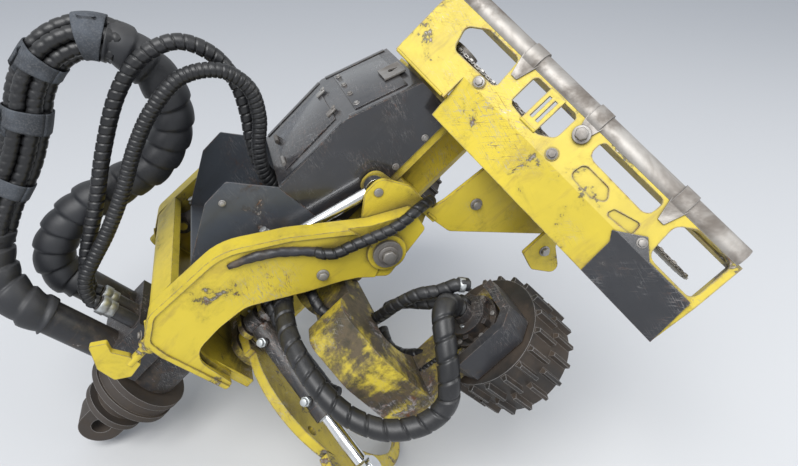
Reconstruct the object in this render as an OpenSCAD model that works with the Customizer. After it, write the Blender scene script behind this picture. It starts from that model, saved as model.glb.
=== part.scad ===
// Harvester head for felling and delimbing trees, lying as it does off its crane.
// Everything is drawn in the head's own frame: x along the tree, towards the saw,
// z out of its back, y across it with the near side at -y, origin on the tilt axis.
// placed() then pitches the head and puts the origin on the crane pin.

/* [Placement] */
// Angle of the tree's direction above the ground
pitch = 43; // [0:1:80]

/* [Tilt frame] */
// Width over the two tilt arms
frame_w = 600; // [570:5:660]
// Thickness of one tilt arm
arm_t = 56; // [40:2:70]
// Distance from the tilt pins to the rotator's seat
seat_x = 600; // [590:5:680]
// Thickness of the plate that the rotator is bolted to
seat_t = 28; // [16:2:36]
// Radius of the tilt pins
tilt_pin_r = 30; // [22:1:36]
// Thickness of the two webs of a tilt arm
arm_web_t = 16; // [12:1:20]
// Distance that a tilt arm's flange stands proud of its web
arm_lip = 5; // [3:1:8]

/* [Rotator] */
// Height of the rotator's axis above the tilt pins
rotator_z = 105; // [90:5:130]
// Radius of the rotator's bolted flange
flange_r = 130; // [115:5:140]
// Thickness of the bolted flange
flange_t = 28; // [20:2:36]
// Radius of the rotator's housing
neck_r = 98; // [80:2:110]
// Length of the rotator's housing
neck_len = 242; // [200:2:280]
// Radius of the rotator's fixed ring
ring_r = 140; // [125:5:150]
// Length of the rotator's fixed ring
ring_len = 80; // [60:5:110]
// Radius of the rotator's spindle
spindle_r = 45; // [35:1:60]
// Radius of the bore for the crane pin
crane_pin_r = 30; // [20:1:36]
// Width of the crane eye
crane_eye_w = 90; // [70:5:120]
// Distance from the hanger's disc to the crane pin
crane_eye_reach = 60; // [50:5:90]

/* [Chassis] */
// Half of the chassis' width
chassis_half_w = 170; // [160:2:172]
// Height of the chassis' back face above the tilt pins
back_z = 110; // [90:5:120]
// Length of the chassis from the tilt pins towards the saw
chassis_front = 375; // [340:5:400]
// Length of the chassis from the tilt pins towards the knives
chassis_rear = 440; // [420:5:450]
// Length of the nose that carries the knives
nose_len = 108; // [104:2:112]
// Half of the spine's width
spine_half_w = 105; // [95:1:108]
// Thickness of the lugs round the pivot shafts
lug_t = 24; // [16:2:28]
// Largest trunk that the head takes
trunk_r = 240; // [200:5:250]
// Distance of a large trunk's centre below the tilt pins
trunk_z = 310; // [290:5:330]
// Thickness of the ear plates
ear_t = 11; // [8:1:12]

/* [Cover and chute] */
// Thickness of the cover's sheet
cover_t = 5; // [3:1:8]
// Height of the cover's flat top
cover_top_z = 293; // [270:1:310]
// Height of the cover's end at the saw
cover_end_z = 214; // [205:1:240]
// Length of the cover's lap over the chassis' sides
cover_lap = 25; // [10:1:30]

/* [Saw] */
// Distance of the saw box's outer face from the tilt axis
saw_face_n = 283; // [275:1:290]
// Depth of the saw box
saw_depth = 150; // [130:5:160]
// Length of the saw box past the tilt axis
saw_tip_s = 802; // [780:2:840]
// Length of the saw box behind the tilt axis
saw_rear_s = 141; // [120:1:150]
// Distance from the chassis' end to the saw box's outer edge
saw_box_len = 205; // [200:1:220]
// Thickness of the saw box's plates
saw_wall = 10; // [6:1:14]
// Distance of the saw box's ridge from the tilt axis
ridge_x = 455; // [440:1:465]
// Drop of the fairing from the ridge to its lower edge
fairing_drop = 34; // [20:1:40]
// Radius of the wear bar
wear_r = 32; // [26:1:36]
// Height of the bands round the wear bar
wear_band = 5; // [3:1:8]
// Thickness of the saw box's end plate
end_plate_t = 6; // [4:1:8]
// Length of the saw bar from its pivot
bar_len = 780; // [700:5:785]
// Width of the saw bar
bar_w = 84; // [70:2:90]
// Thickness of the saw bar
bar_t = 8; // [5:1:12]
// Distance of the saw bar from the tilt pins
bar_x = 500; // [480:2:520]
// Radius of the saw's shaft
saw_shaft_r = 20; // [14:1:26]
// Radius of the saw's motor
saw_motor_r = 44; // [36:1:50]

/* [Knives] */
// Thickness of a knife
knife_t = 30; // [20:2:32]
// Radius of a knife's outer edge
knife_outer_r = 316; // [310:1:326]
// Radius of the knife and arm bosses
boss_r = 52; // [44:1:54]
// Radius of the pivot shafts
shaft_r = 25; // [20:1:30]
// Distance of the pivot shafts from the head's middle
pivot_y = 165; // [162:1:172]

/* [Feed rollers] */
// Radius of a feed roller's drum
drum_r = 150; // [130:2:156]
// Height of the roller's cleats
cleat_h = 15; // [8:1:20]
// Width of a cleat at its foot
cleat_w = 18; // [10:1:22]
// Width of a feed roller
roller_w = 170; // [140:5:190]
// Rows of cleats round a feed roller
cleat_rows = 20; // [12:1:24]
// Distance of the rollers from the tilt pins, along the tree
roller_x = 50; // [30:5:70]
// Distance of the rollers from the head's middle
roller_y = 500; // [480:5:520]
// Distance of the rollers' middle below the tilt pins
roller_z = 340; // [330:5:350]
// Radius of a roller motor's hub
motor_r = 58; // [45:1:65]

/* [Cylinders] */
// Radius of a tilt cylinder's barrel
tilt_barrel_r = 27; // [24:1:28]
// Radius of a tilt cylinder's rod
tilt_rod_r = 16; // [12:1:18]
// Length of a tilt cylinder's barrel
tilt_barrel_len = 340; // [320:2:350]
// Radius of a knife cylinder's barrel
knife_barrel_r = 30; // [26:1:31]
// Radius of a knife cylinder's rod
knife_rod_r = 19; // [15:1:20]
// Length of a knife cylinder's barrel
knife_barrel_len = 330; // [310:2:350]

/* [Hidden] */
$fn = 64;
arc_steps = 5;
pin_play = 0.05;
seat = 0.3;
run_gap = 5;
side_gap = 3;
saw_lean = 45;
gland_lip = 2;

yellow = "#d9c21a";
steel_black = "#26272a";
bare_steel = "#b9bcc0";
worn_steel = "#8d8f92";
dirty_steel = "#5a4a3e";
hose_black = "#1d1e20";

// Places along x
seat_face = -seat_x;
flange_back = seat_face - flange_t;
neck_end = flange_back - neck_len;
ring_gap = 10;
ring_face = neck_end - ring_gap;
ring_end = ring_face - ring_len;
stub_len = 70;
disc_t = 20;
stub_end = ring_end - stub_len;
disc_end = stub_end - disc_t;
crane_pin_x = disc_end - crane_eye_reach;
arm_inner = frame_w / 2 - arm_t;
nose_end = -chassis_rear - nose_len;
bulkhead_t = 10;
bulkhead_end = chassis_front + bulkhead_t;
saw_edge = bulkhead_end + saw_box_len;

// Pins of the tilt cylinders, as [x, z]
tilt_base = [-475, 285];
tilt_ear = [97, 113];
tilt_cyl_y = arm_inner - 8 - tilt_barrel_r;
cover_half_w = chassis_half_w + seat + cover_t;
tilt_cyl_pin_r = 14;
bracket_t = 18;

// Pivots of the knives and the roller arms, as [y, z] on the near side
knife_pivot = [-pivot_y, 0];
arm_pivot = [-pivot_y, -30];
knife_base = [-215, 78];
knife_eye = [-600, -250];
knife_x = [-515, -477];
knife_cyl_x = [-415, -377];
arm_x0 = -270;
arm_len = 120;
plate_t = 20;

// Saw pivot, as [s, n] in the saw box's frame
bar_pivot = [-30, 190];

// Pivot and wheel of the length measuring arm, as [x, z]
measure_pivot = [80, -5];
measure_wheel = [-10, -85];
measure_r = 60;

// Outline of a tilt arm, as [x, z, corner radius]
arm_corners = [[128, 20, 14], [115, -38, 14], [-52, -68, 20], [-108, 2, 20],
  [-140, 28, 8], [-226, 84, 90], [-353, 179, 90], [-445, 190, 60],
  [-560, 186, 60], [-575, 34, 8], [seat_face, 40, 8], [seat_face, 250, 40],
  [-590, 312, 30], [-510, 355, 50], [-262, 340, 160], [-128, 236, 120],
  [25, 88, 60]];

// Channel between a tilt arm's webs, open along its belly
arm_channel = [[-165, -10, 2], [-165, 140, 50], [-290, 290, 110], [-500, 326, 40],
  [-574, 294, 25], [-582, 240, 20], [-582, -10, 2]];

// Web of a tilt arm, inside its flange
arm_web = [[-640, -140, 2], [-640, 20, 2], [-586, 24, 2], [-586, 246, 36],
  [-576, 302, 28], [-508, 341, 46], [-268, 326, 150], [-134, 224, 110], [-40, 131, 2],
  [100, -10, 2], [100, -140, 2]];

// Eye of a tilt arm, set back from its web
arm_eye = [[-89, 82, 2], [-20, 151, 2], [220, 151, 2], [220, -160, 2], [-331, -160, 2]];

// Outline of the bracket beside the rotator, as [x, z, corner radius]
bracket_corners = [[-682, 404, 6], [-650, 376, 6], [-668, 350, 8], [-656, 306, 10],
  [-660, 268, 6], [-708, 262, 10], [-740, 290, 10], [-732, 345, 14]];
bracket_pin = [-268, 288];

// Outline of the near side's gusset, from its ear to the saw box
gusset_corners = [[136, -20, 6], [200, -40, 20], [chassis_front, -60, 2],
  [chassis_front, -385, 2], [345, -392, 10], [147, -125, 30]];
gusset_y = trunk_r + 3;

// Outline of an ear plate, as [x, z, corner radius]
ear_corners = [[-58, -58, 40], [70, -76, 30], [158, -30, 30], [165, 60, 30],
  [128, 139, 32], [72, 139, 32], [-50, 40, 30]];

// Outline of a roller arm, as [y, z, corner radius]
roller_arm_corners = [[-190, 18, 10], [-235, 0, 20], [-310, 0, 20], [-380, 50, 40],
  [-455, 62, 50], [-548, -40, 60], [-590, -180, 30], [-590, -235, 4],
  [-425, -235, 4], [-460, -150, 60], [-430, -80, 60], [-330, -100, 60],
  [-190, -76, 10]];
roller_arm_pocket = [[-230, -22, 10], [-318, -22, 20], [-388, 28, 30], [-448, 38, 30],
  [-522, -48, 50], [-568, -185, 20], [-568, -300, 4], [-300, -300, 4], [-230, -140, 4]];

// Windows of the saw box, each as corners [x, s, radius]
saw_windows = [
  [[485, -30, 20], [545, -50, 20], [578, 0, 20], [578, 108, 14], [490, 116, 14]],
  [[490, 166, 16], [578, 166, 14], [578, 308, 14], [506, 308, 20], [482, 270, 20]],
  [[530, 390, 26], [578, 390, 14], [578, 585, 14], [526, 585, 22]],
  [[465, 650, 24], [555, 640, 30], [584, 680, 30], [584, 784, 20], [465, 784, 20]]];
// Pads of the saw box's bolts, as [x, s, radius]
saw_pads = [[472, 78, 16], [474, 330, 16]];
// Recesses in the saw box's face
saw_recesses = [
  [[468, 392, 16], [512, 400, 16], [512, 478, 14], [486, 500, 10], [466, 470, 16]],
  [[464, 516, 8], [486, 522, 8], [506, 588, 8], [472, 592, 8]]];
// Places of the bands round the wear bar, along s
wear_bands = [130, 345, 612];
// Outline of the end plate over the ridge, as [x, s]
end_plate = [[334, 577], [428, 570], [449, 554], [495, 619], [458, 662], [459, 786],
  [334, saw_tip_s]];
fairing_x = 335;
fairing_start = 40;

// Routes of the hoses as [x, y, z]
crane_route = [[-745, 65, 440], [-745, 65, 490], [-705, 65, 545], [-620, 68, 572],
  [-520, 78, 565], [-400, 90, 525], [-310, 90, 505], [-215, 90, 525], [-145, 90, 580],
  [-110, 90, 660], [-105, 90, 750], [-145, 90, 830], [-230, 90, 865], [-330, 90, 850],
  [-430, 80, 800], [-530, 70, 760], [-640, 50, 735], [-740, 20, 690], [-800, -20, 620],
  [-815, -50, 545], [-815, -55, 500], [-815, -55, 470]];
tilt_route_a = [[-690, -75, 400], [-690, -75, 425], [-640, -70, 470], [-500, -55, 505],
  [-380, -50, 545], [-260, -50, 595], [-150, -50, 625], [-40, -50, 625], [35, -50, 570],
  [50, -50, 490], [10, -50, 420], [-55, -50, 365], [-103, -50, 305], [-115, -50, 245],
  [-115, -50, 200]];
tilt_route_b = [[-690, -25, 400], [-690, -25, 430], [-620, -15, 490], [-470, -5, 565],
  [-330, 0, 640], [-190, 0, 700], [-80, 0, 715], [10, 0, 680], [45, 0, 600],
  [30, 0, 510], [-15, 0, 435], [-65, 0, 375], [-103, 0, 315], [-115, 0, 250],
  [-115, 0, 200]];
roller_route = [[-290, -170, 88], [-290, -200, 88], [-300, -290, 93], [-312, -380, 82],
  [-316, -460, 50], [-314, -540, 0], [-298, -605, -65], [-255, -650, -130],
  [-185, -668, -178], [-110, -665, -185], [-55, -645, -142], [-10, -600, -100],
  [25, -550, -75], [46, -515, -85], [50, -500, -112], [50, -500, -140]];
crane_bundle_r = 60;
tilt_hose_r = 21;
roller_bundle_r = 27;

function unit(v) = v / norm(v);
function xy(p) = [p.x, p.y];

// Points of one corner b with its arc, between the corners a and c
function corner_arc(a, b, c) =
  let (u = unit(xy(a) - xy(b)), v = unit(xy(c) - xy(b)),
       half = acos(u * v) / 2,
       room = 0.48 * min(norm(xy(a) - xy(b)), norm(xy(c) - xy(b))),
       t = min(b.z / tan(half), room), r = t * tan(half),
       mid = xy(b) + unit(u + v) * r / sin(half),
       from = xy(b) + u * t - mid, to = xy(b) + v * t - mid,
       a0 = atan2(from.y, from.x),
       turn = ((atan2(to.y, to.x) - a0 + 540) % 360) - 180)
  [for (i = [0 : arc_steps]) mid + r * [cos(a0 + turn * i / arc_steps),
                                         sin(a0 + turn * i / arc_steps)]];

// Outline with round corners from a table of [x, y, radius]
function rounded(t) = let (n = len(t))
  [for (i = [0 : n - 1]) each corner_arc(t[(i + n - 1) % n], t[i], t[(i + 1) % n])];

module placed() rotate([0, -pitch, 0]) translate([-crane_pin_x, 0, -rotator_z]) children();
module far_side() mirror([0, 1, 0]) children();
module both_sides() { children(); far_side() children(); }

// Plate in the x-z plane from y0 to y0 + t
module side_plate(corners, y0, t) translate([0, y0 + t, 0]) rotate([90, 0, 0])
  linear_extrude(t) polygon(rounded(corners));
// Plate in the y-z plane from x0 to x0 + t
module cross_plate(corners, x0, t) translate([x0, 0, 0]) rotate([90, 0, 90])
  linear_extrude(t) polygon(rounded(corners));
// Bar along y, through [x, z]
module bar_y(at, y0, y1, r) translate([at.x, y1, at.y]) rotate([90, 0, 0])
  cylinder(h = y1 - y0, r = r);
// Bar along x, through [y, z]
module bar_x(at, x0, x1, r) translate([x0, at.x, at.y]) rotate([0, 90, 0])
  cylinder(h = x1 - x0, r = r);
// Block between two corners
module block(low, high) translate(low) cube(high - low);
// Frame of a cylinder in an x-z plane: its length along +x, its eye on the origin
module aim_xz(from, to, y) translate([from.x, y, from.y])
  rotate([0, -atan2(to.y - from.y, to.x - from.x), 0]) children();
// Frame of a cylinder in a y-z plane: its length along +y, its eye on the origin
module aim_yz(from, to, x) translate([x, from.x, from.y])
  rotate([atan2(to.y - from.y, to.x - from.x), 0, 0]) children();
// Frame of the saw box: y against s, z out of its outer face
module in_saw_box() rotate([saw_lean, 0, 0]) children();
// Section of the saw box, as [x, n], drawn out from s0 to s1
module saw_section(section, s0, s1) translate([0, -s0, 0]) rotate([90, 0, 0])
  linear_extrude(s1 - s0) polygon(section);
// Outline on the saw box's face, drawn out from n0 to n1
module saw_plate(outline, n0, n1) translate([0, 0, n0]) linear_extrude(n1 - n0)
  polygon([for (c = outline) [c.x, -c.y]]);

// Tube along a route of points
module hose(route, r, sides = 10, up = [0, 1, 0]) {
  n = len(route);
  rings = [for (i = [0 : n - 1])
    let (d = unit(route[min(i + 1, n - 1)] - route[max(i - 1, 0)]),
         u = unit(cross(d, up)), v = cross(d, u))
    for (k = [0 : sides - 1])
      let (a = 360 * k / sides) route[i] + r * (cos(a) * u + sin(a) * v)];
  faces = concat([[for (k = [0 : sides - 1]) k]],
    [for (i = [0 : n - 2], k = [0 : sides - 1])
      [i * sides + k, (i + 1) * sides + k, (i + 1) * sides + (k + 1) % sides,
       i * sides + (k + 1) % sides]],
    [[for (k = [sides - 1 : -1 : 0]) (n - 1) * sides + k]]);
  polyhedron(rings, faces);
}

module hanger() placed() color(dirty_steel) difference() {
  union() {
    bar_x([0, rotator_z], stub_end, ring_end, 72);
    bar_x([0, rotator_z], disc_end, stub_end, 100);
    block([disc_end - crane_eye_reach, -crane_eye_w / 2, rotator_z - 68],
          [disc_end, crane_eye_w / 2, rotator_z + 68]);
    bar_y([crane_pin_x, rotator_z], -crane_eye_w / 2, crane_eye_w / 2, 68);
  }
  bar_y([crane_pin_x, rotator_z], -crane_eye_w, crane_eye_w, crane_pin_r);
}

module rotator_ring() placed() color(dirty_steel) difference() {
  union() {
    bar_x([0, rotator_z], ring_end, ring_face, ring_r - 8);
    for (x = [ring_end, ring_face - 22]) bar_x([0, rotator_z], x, x + 22, ring_r);
  }
  bar_x([0, rotator_z], ring_end - 1, ring_face + 1, spindle_r + pin_play);
}

module rotator() placed() color(steel_black) {
  bar_x([0, rotator_z], neck_end, flange_back, neck_r);
  bar_x([0, rotator_z], flange_back, seat_face, flange_r);
  bar_x([0, rotator_z], ring_end + 5, neck_end, spindle_r);
}

// One arm: two webs under a flange that stands proud of them, with an eye at its end
module tilt_arm() difference() {
  union() {
    difference() {
      side_plate(arm_corners, -frame_w / 2, arm_t);
      side_plate(arm_channel, -frame_w / 2 + arm_web_t, arm_t - 2 * arm_web_t);
      side_plate(arm_web, -frame_w / 2 - 1, arm_lip + 1);
      side_plate(arm_eye, -frame_w / 2 - 1, 2 * arm_lip + 1);
    }
    bar_y([0, 0], -frame_w / 2 - 4, -arm_inner, 54);
    bar_x(bracket_pin, bracket_boss_end, bracket_boss_end + 32, 24);
  }
  bar_y([0, 0], -frame_w, 0, tilt_pin_r + pin_play);
}
bracket_boss_end = -612;

module tilt_frame() placed() color(yellow) {
  both_sides() {
    tilt_arm();
    bar_y(tilt_base, -arm_inner, -arm_inner + 58, tilt_cyl_pin_r);
  }
  // Saddle over the top and the rotator's seat plate
  side_plate([[-430, 352, 1], [-512, 352, 40], [-588, 306, 20], [seat_face, 248, 4],
    [seat_face + seat_t, 248, 4], [-563, 290, 16], [-505, 326, 30], [-430, 328, 1]],
    -arm_inner, 2 * arm_inner);
  block([seat_face, -arm_inner, -42], [seat_face + seat_t, arm_inner, 250]);
}

module tilt_pins() placed() color(worn_steel) both_sides() {
  bar_y([0, 0], -frame_w / 2 - 4, -190, tilt_pin_r);
  bar_y([0, 0], -frame_w / 2 - 14, -frame_w / 2 - 4, 40);
}

module hose_bracket() placed() color(yellow) {
  side_plate(bracket_corners, bracket_pin.x - bracket_t / 2, bracket_t);
  bar_x(bracket_pin, bracket_corners[4].x - 20, bracket_boss_end - seat, 12);
}

module hose_manifold() placed() color(steel_black) {
  top = rotator_z + neck_r + 80;
  difference() {
    block([-850, -110, rotator_z + 60], [-665, 110, top]);
    bar_x([0, rotator_z], neck_end, flange_back, neck_r + seat);
  }
  // Ports that the hoses start and end on
  for (port = [[crane_route[0], crane_bundle_r - 12],
      [crane_route[len(crane_route) - 1], crane_bundle_r - 12],
      [tilt_route_a[0], tilt_hose_r], [tilt_route_b[0], tilt_hose_r]])
    translate([port[0].x, port[0].y, top]) cylinder(h = port[0].z - top, r = port[1]);
}

module crane_hoses() placed() color(hose_black) hose(crane_route, crane_bundle_r, 12);

module tilt_hoses() placed() color(hose_black) {
  hose(tilt_route_a, tilt_hose_r);
  hose(tilt_route_b, tilt_hose_r);
}

tilt_len = norm(tilt_ear - tilt_base);
tilt_eye_r = 31;
tilt_eye_w = 26;
port_r = 11;

module tilt_barrel() aim_xz(tilt_base, tilt_ear, -tilt_cyl_y) difference() {
  union() {
    bar_y([0, 0], -tilt_eye_w / 2, tilt_eye_w / 2, tilt_eye_r);
    bar_x([0, 0], tilt_eye_r - 8, tilt_barrel_len, tilt_barrel_r);
    bar_x([0, 0], tilt_barrel_len - 30, tilt_barrel_len, tilt_barrel_r + gland_lip);
    for (x = [70, tilt_barrel_len - 52]) translate([x, 0, 0])
      cylinder(h = tilt_barrel_r + 12, r = port_r);
  }
  bar_y([0, 0], -tilt_eye_w, tilt_eye_w, tilt_cyl_pin_r + pin_play);
  bar_x([0, 0], 55, tilt_barrel_len - 40, tilt_barrel_r - 6);
  bar_x([0, 0], 50, tilt_barrel_len + 1, tilt_rod_r + pin_play);
}

module tilt_rod() aim_xz(tilt_base, tilt_ear, -tilt_cyl_y) {
  bar_x([0, 0], tilt_len - 335, tilt_len, tilt_rod_r);
  bar_y([tilt_len, 0], -tilt_eye_w / 2, tilt_eye_w / 2, tilt_eye_r);
}

module tilt_barrel_near() placed() color(steel_black) tilt_barrel();
module tilt_barrel_far() placed() color(steel_black) far_side() tilt_barrel();
module tilt_rod_near() placed() color(bare_steel) tilt_rod();
module tilt_rod_far() placed() color(bare_steel) far_side() tilt_rod();

ear_face = arm_inner - run_gap;
ear_inner_y = tilt_cyl_y - tilt_rod_r - side_gap;

// Lug round a pivot shaft, reaching in to the face at y = -inner
module pivot_lug(pivot, x0, inner) difference() {
  union() {
    bar_x(pivot, x0, x0 + lug_t, boss_r + 4);
    block([x0, pivot.x, pivot.y - 50], [x0 + lug_t, -inner, pivot.y + 50]);
  }
  bar_x(pivot, x0 - 1, x0 + lug_t + 1, shaft_r + pin_play);
}

module chassis_ear() {
  difference() {
    union() {
      side_plate(ear_corners, -ear_face, ear_t);
      bar_y([0, 0], -ear_face, -spine_half_w, 59);
      block([130, -ear_face, -28], [156, -spine_half_w, 58]);
    }
    bar_y([0, 0], -frame_w, -185, tilt_pin_r + pin_play);
  }
  // Inner tab that holds the far end of the cylinder's pin
  side_plate([[55, 60, 4], [140, 60, 4], [133, 145, 34], [62, 145, 34]],
    -ear_inner_y, 10);
  block([55, -ear_inner_y, 60], [140, -chassis_half_w, 74]);
  // Ends of the pin, which stop short of the rod's eye
  bar_y(tilt_ear, -ear_face, -tilt_cyl_y - tilt_eye_w / 2 - side_gap, 22);
  bar_y(tilt_ear, -tilt_cyl_y + tilt_eye_w / 2 + side_gap, -ear_inner_y + 10, 22);
}

knife_base_lug_t = 16;
nose_half_w = 62;

module knife_base_lug(x) {
  for (x0 = [x - 32 - knife_base_lug_t, x + 32])
    cross_plate([[-chassis_half_w, 60, 2], [-chassis_half_w, 108, 2], [-200, 108, 20],
      [-243, 100, 24], [-243, 56, 24], [-200, 56, 10]], x0, knife_base_lug_t);
  bar_x(knife_base, x - 32 - knife_base_lug_t, x + 32 + knife_base_lug_t, 16);
}

module chassis() placed() color(yellow) {
  difference() {
    union() {
      block([-chassis_rear, -chassis_half_w, 60], [chassis_front, chassis_half_w, back_z]);
      cross_plate([[-spine_half_w, 61, 1], [-spine_half_w, -60, 8], [-85, -85, 8],
        [0, -70, 60], [85, -85, 8], [spine_half_w, -60, 8], [spine_half_w, 61, 1]],
        -chassis_rear, chassis_rear + chassis_front);
      block([nose_end, -nose_half_w, -58], [-chassis_rear, nose_half_w, 56]);
    }
    // Well that the measuring wheel swings up into
    block([-115, -36, -100], [112, 36, 20]);
  }
  bar_y(measure_pivot, -40, 40, 11);
  bulkhead();
  side_plate([[chassis_front + 2, -300, 1], [252, -300, 8], [236, -367, 12],
    [283, -455, 20], [331, -363, 8], [chassis_front + 2, -350, 1]], -336, 12);
}

module tilt_ears() placed() color(yellow) {
  both_sides() chassis_ear();
  // Gusset on the near side, outside the largest trunk
  side_plate(gusset_corners, -gusset_y - ear_t, ear_t);
  block([136, -gusset_y - ear_t, -66], [164, -ear_face + ear_t, -20]);
}

module pivot_lugs() placed() color(yellow) {
  for (x0 = [nose_end, -476]) pivot_lug(knife_pivot, x0, nose_half_w);
  far_side() {
    pivot_lug(knife_pivot, nose_end, nose_half_w);
    pivot_lug(knife_pivot, -438, spine_half_w);
    knife_base_lug(knife_cyl_x[1]);
  }
  both_sides() for (x0 = [arm_x0 - 6 - lug_t, arm_x0 + arm_len + 6])
    pivot_lug(arm_pivot, x0, spine_half_w);
  knife_base_lug(knife_cyl_x[0]);
}

// End plate that the saw box is bolted to, cut round the trunk
module bulkhead() difference() {
  translate([chassis_front, 0, 0]) rotate([90, 0, 90]) linear_extrude(bulkhead_t)
    difference() {
      polygon([[chassis_half_w, back_z], [60, 205], [-120, 205], [-435, -60],
        [-410, -200], [-300, -405], [-190, -405], [-190, -260], [190, -200],
        [chassis_half_w, -60]]);
      translate([0, -trunk_z]) circle(r = trunk_r + 5);
    }
  in_saw_box() {
    bar_x([-bar_pivot[0], bar_pivot[1]], 0, saw_edge, saw_shaft_r + pin_play);
    // Edge under the saw box's fairing
    saw_section([[fairing_x, fairing_n(fairing_x) - saw_wall - seat], [ridge_x,
      saw_face_n - saw_wall - seat], [ridge_x, saw_face_n + 90],
      [fairing_x, saw_face_n + 90]], fairing_start - 1, saw_tip_s);
  }
}

module cover_shape(inset, half, x0, z0) translate([0, half, 0]) rotate([90, 0, 0])
  linear_extrude(2 * half) polygon([[x0, z0], [x0, cover_top_z - inset],
    [173 - inset / 5, cover_top_z - inset],
    [chassis_front - inset, cover_end_z - inset * 0.75], [chassis_front - inset, z0]]);

module valve_cover() placed() color(steel_black) difference() {
  cover_shape(0, cover_half_w, -75, back_z - cover_lap);
  cover_shape(cover_t, cover_half_w - cover_t, -76, back_z - cover_lap - 1);
  // Room for the deck between the laps
  block([-76, -chassis_half_w - seat, 0], [chassis_front + 1, chassis_half_w + seat, back_z]);
  in_saw_box() bar_x([-bar_pivot[0], bar_pivot[1]], 0, saw_edge, saw_motor_r + 1);
}

module hose_chute() placed() color("#55595d") {
  both_sides() side_plate([[-76, 294, 1], [-149, 406, 6], [-228, 406, 10],
    [-399, 318, 10], [-330, 190, 60], [-180, back_z, 2], [-76, back_z, 1]],
    -cover_half_w, cover_t);
  side_plate([[-140, back_z, 1], [-180, back_z, 2], [-330, 196, 60], [-399, 318, 4],
    [-393, 318, 4], [-322, 198, 56], [-176, back_z + 7, 2], [-140, back_z + 7, 1]],
    -cover_half_w + cover_t, 2 * (cover_half_w - cover_t));
}

module valve_block() placed() color("#3a3a3a") {
  block([-40, -110, back_z], [240, 110, 235]);
  // Inlet that the tilt frame's hoses end on
  block([-138, -80, back_z], [-40, 80, tilt_route_a[len(tilt_route_a) - 1].z]);
}

module saw_motor() placed() color(steel_black)
  in_saw_box() bar_x([-bar_pivot[0], bar_pivot[1]], 290, chassis_front, saw_motor_r);

function fairing_n(x) =
  saw_face_n - fairing_drop * (ridge_x - x) / (ridge_x - fairing_x);
saw_inner_n = saw_face_n - saw_depth;
saw_root_t = 12;
// Height of the saw box's outer wall above its open side
saw_mouth = 60;

module saw_box() placed() color(yellow) in_saw_box() {
  flange = [[saw_edge - saw_wall, saw_face_n - saw_wall],
    [saw_edge - saw_wall, saw_inner_n + saw_mouth], [saw_edge, saw_inner_n + saw_mouth],
    [saw_edge, saw_face_n]];
  root_end = bulkhead_end + saw_root_t;
  difference() {
    union() {
      // Flat upper stretch, then the stretch with the ridge and its fairing
      saw_section(concat([[bulkhead_end, saw_inner_n], [root_end, saw_inner_n],
        [root_end, saw_face_n - saw_wall]], flange, [[bulkhead_end, saw_face_n]]),
        -saw_rear_s, fairing_start);
      saw_section(concat([[bulkhead_end, saw_inner_n], [root_end, saw_inner_n],
        [root_end, fairing_n(root_end) - saw_wall], [ridge_x, saw_face_n - saw_wall]],
        flange, [[ridge_x, saw_face_n], [fairing_x, fairing_n(fairing_x)],
        [fairing_x, fairing_n(fairing_x) - saw_wall],
        [bulkhead_end, fairing_n(bulkhead_end) - saw_wall]]), fairing_start, saw_tip_s);
      // End walls
      block([bulkhead_end, saw_rear_s - saw_wall, saw_inner_n],
            [saw_edge, saw_rear_s, saw_face_n]);
      saw_section([[root_end - 1, saw_face_n - 80], [saw_edge - 1, saw_face_n - 80],
        [saw_edge - 1, saw_face_n - 1], [ridge_x, saw_face_n - 1],
        [root_end - 1, fairing_n(root_end - 1) - 1]], saw_tip_s - saw_wall, saw_tip_s);
      for (pad = saw_pads) translate([pad.x, -pad.y, saw_face_n - saw_wall + 1])
        cylinder(h = saw_wall + 3, r = pad.z);
    }
    for (w = saw_windows) saw_plate(rounded(w), saw_face_n - 40, saw_face_n + 40);
    for (w = saw_recesses) saw_plate(rounded(w), saw_face_n - saw_wall / 2, saw_face_n + 1);
    bar_x([-bar_pivot[0], bar_pivot[1]], 0, bar_x - 20, saw_shaft_r + pin_play);
  }
  // Slotted strap across the second window
  difference() {
    block([480, -262, saw_face_n - 8], [saw_edge - 8, -214, saw_face_n + 2]);
    for (s = [229, 247]) block([502, -s - 4, 0], [566, -s + 4, saw_face_n + 3]);
  }
}

module saw_wear_bar() placed() color(worn_steel) in_saw_box() difference() {
  union() {
    translate([saw_edge + 14, -saw_tip_s + 12, saw_face_n - 26]) rotate([-90, 0, 0])
      cylinder(h = saw_tip_s + saw_rear_s - 24, r = wear_r);
    for (s = wear_bands) {
      translate([saw_edge + 14, -s - 20, saw_face_n - 26]) rotate([-90, 0, 0])
        cylinder(h = 40, r = wear_r + wear_band);
      // Foot that carries the band over on to the face; the middle one has a bolt's pad
      if (s == wear_bands[1]) translate([saw_edge - 38, -s, saw_face_n])
        cylinder(h = wear_band + 4, r = 22);
      saw_plate([[saw_edge + 8, s - 26], [saw_edge + 8, s + 26], [saw_edge - 52, s + 9],
        [saw_edge - 52, s - 9]], saw_face_n, saw_face_n + wear_band);
    }
  }
  block([saw_edge - 200, -saw_tip_s - 1, 0], [saw_edge, saw_rear_s + 1, saw_face_n]);
}

module saw_end_plate() placed() color(steel_black) in_saw_box() intersection() {
  saw_section([[fairing_x, fairing_n(fairing_x)], [ridge_x, saw_face_n], [520, saw_face_n],
    [520, saw_face_n + end_plate_t], [ridge_x - 1, saw_face_n + end_plate_t],
    [fairing_x, fairing_n(fairing_x) + end_plate_t]], 500, saw_tip_s);
  saw_plate(end_plate, 0, saw_face_n + 50);
}

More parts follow.
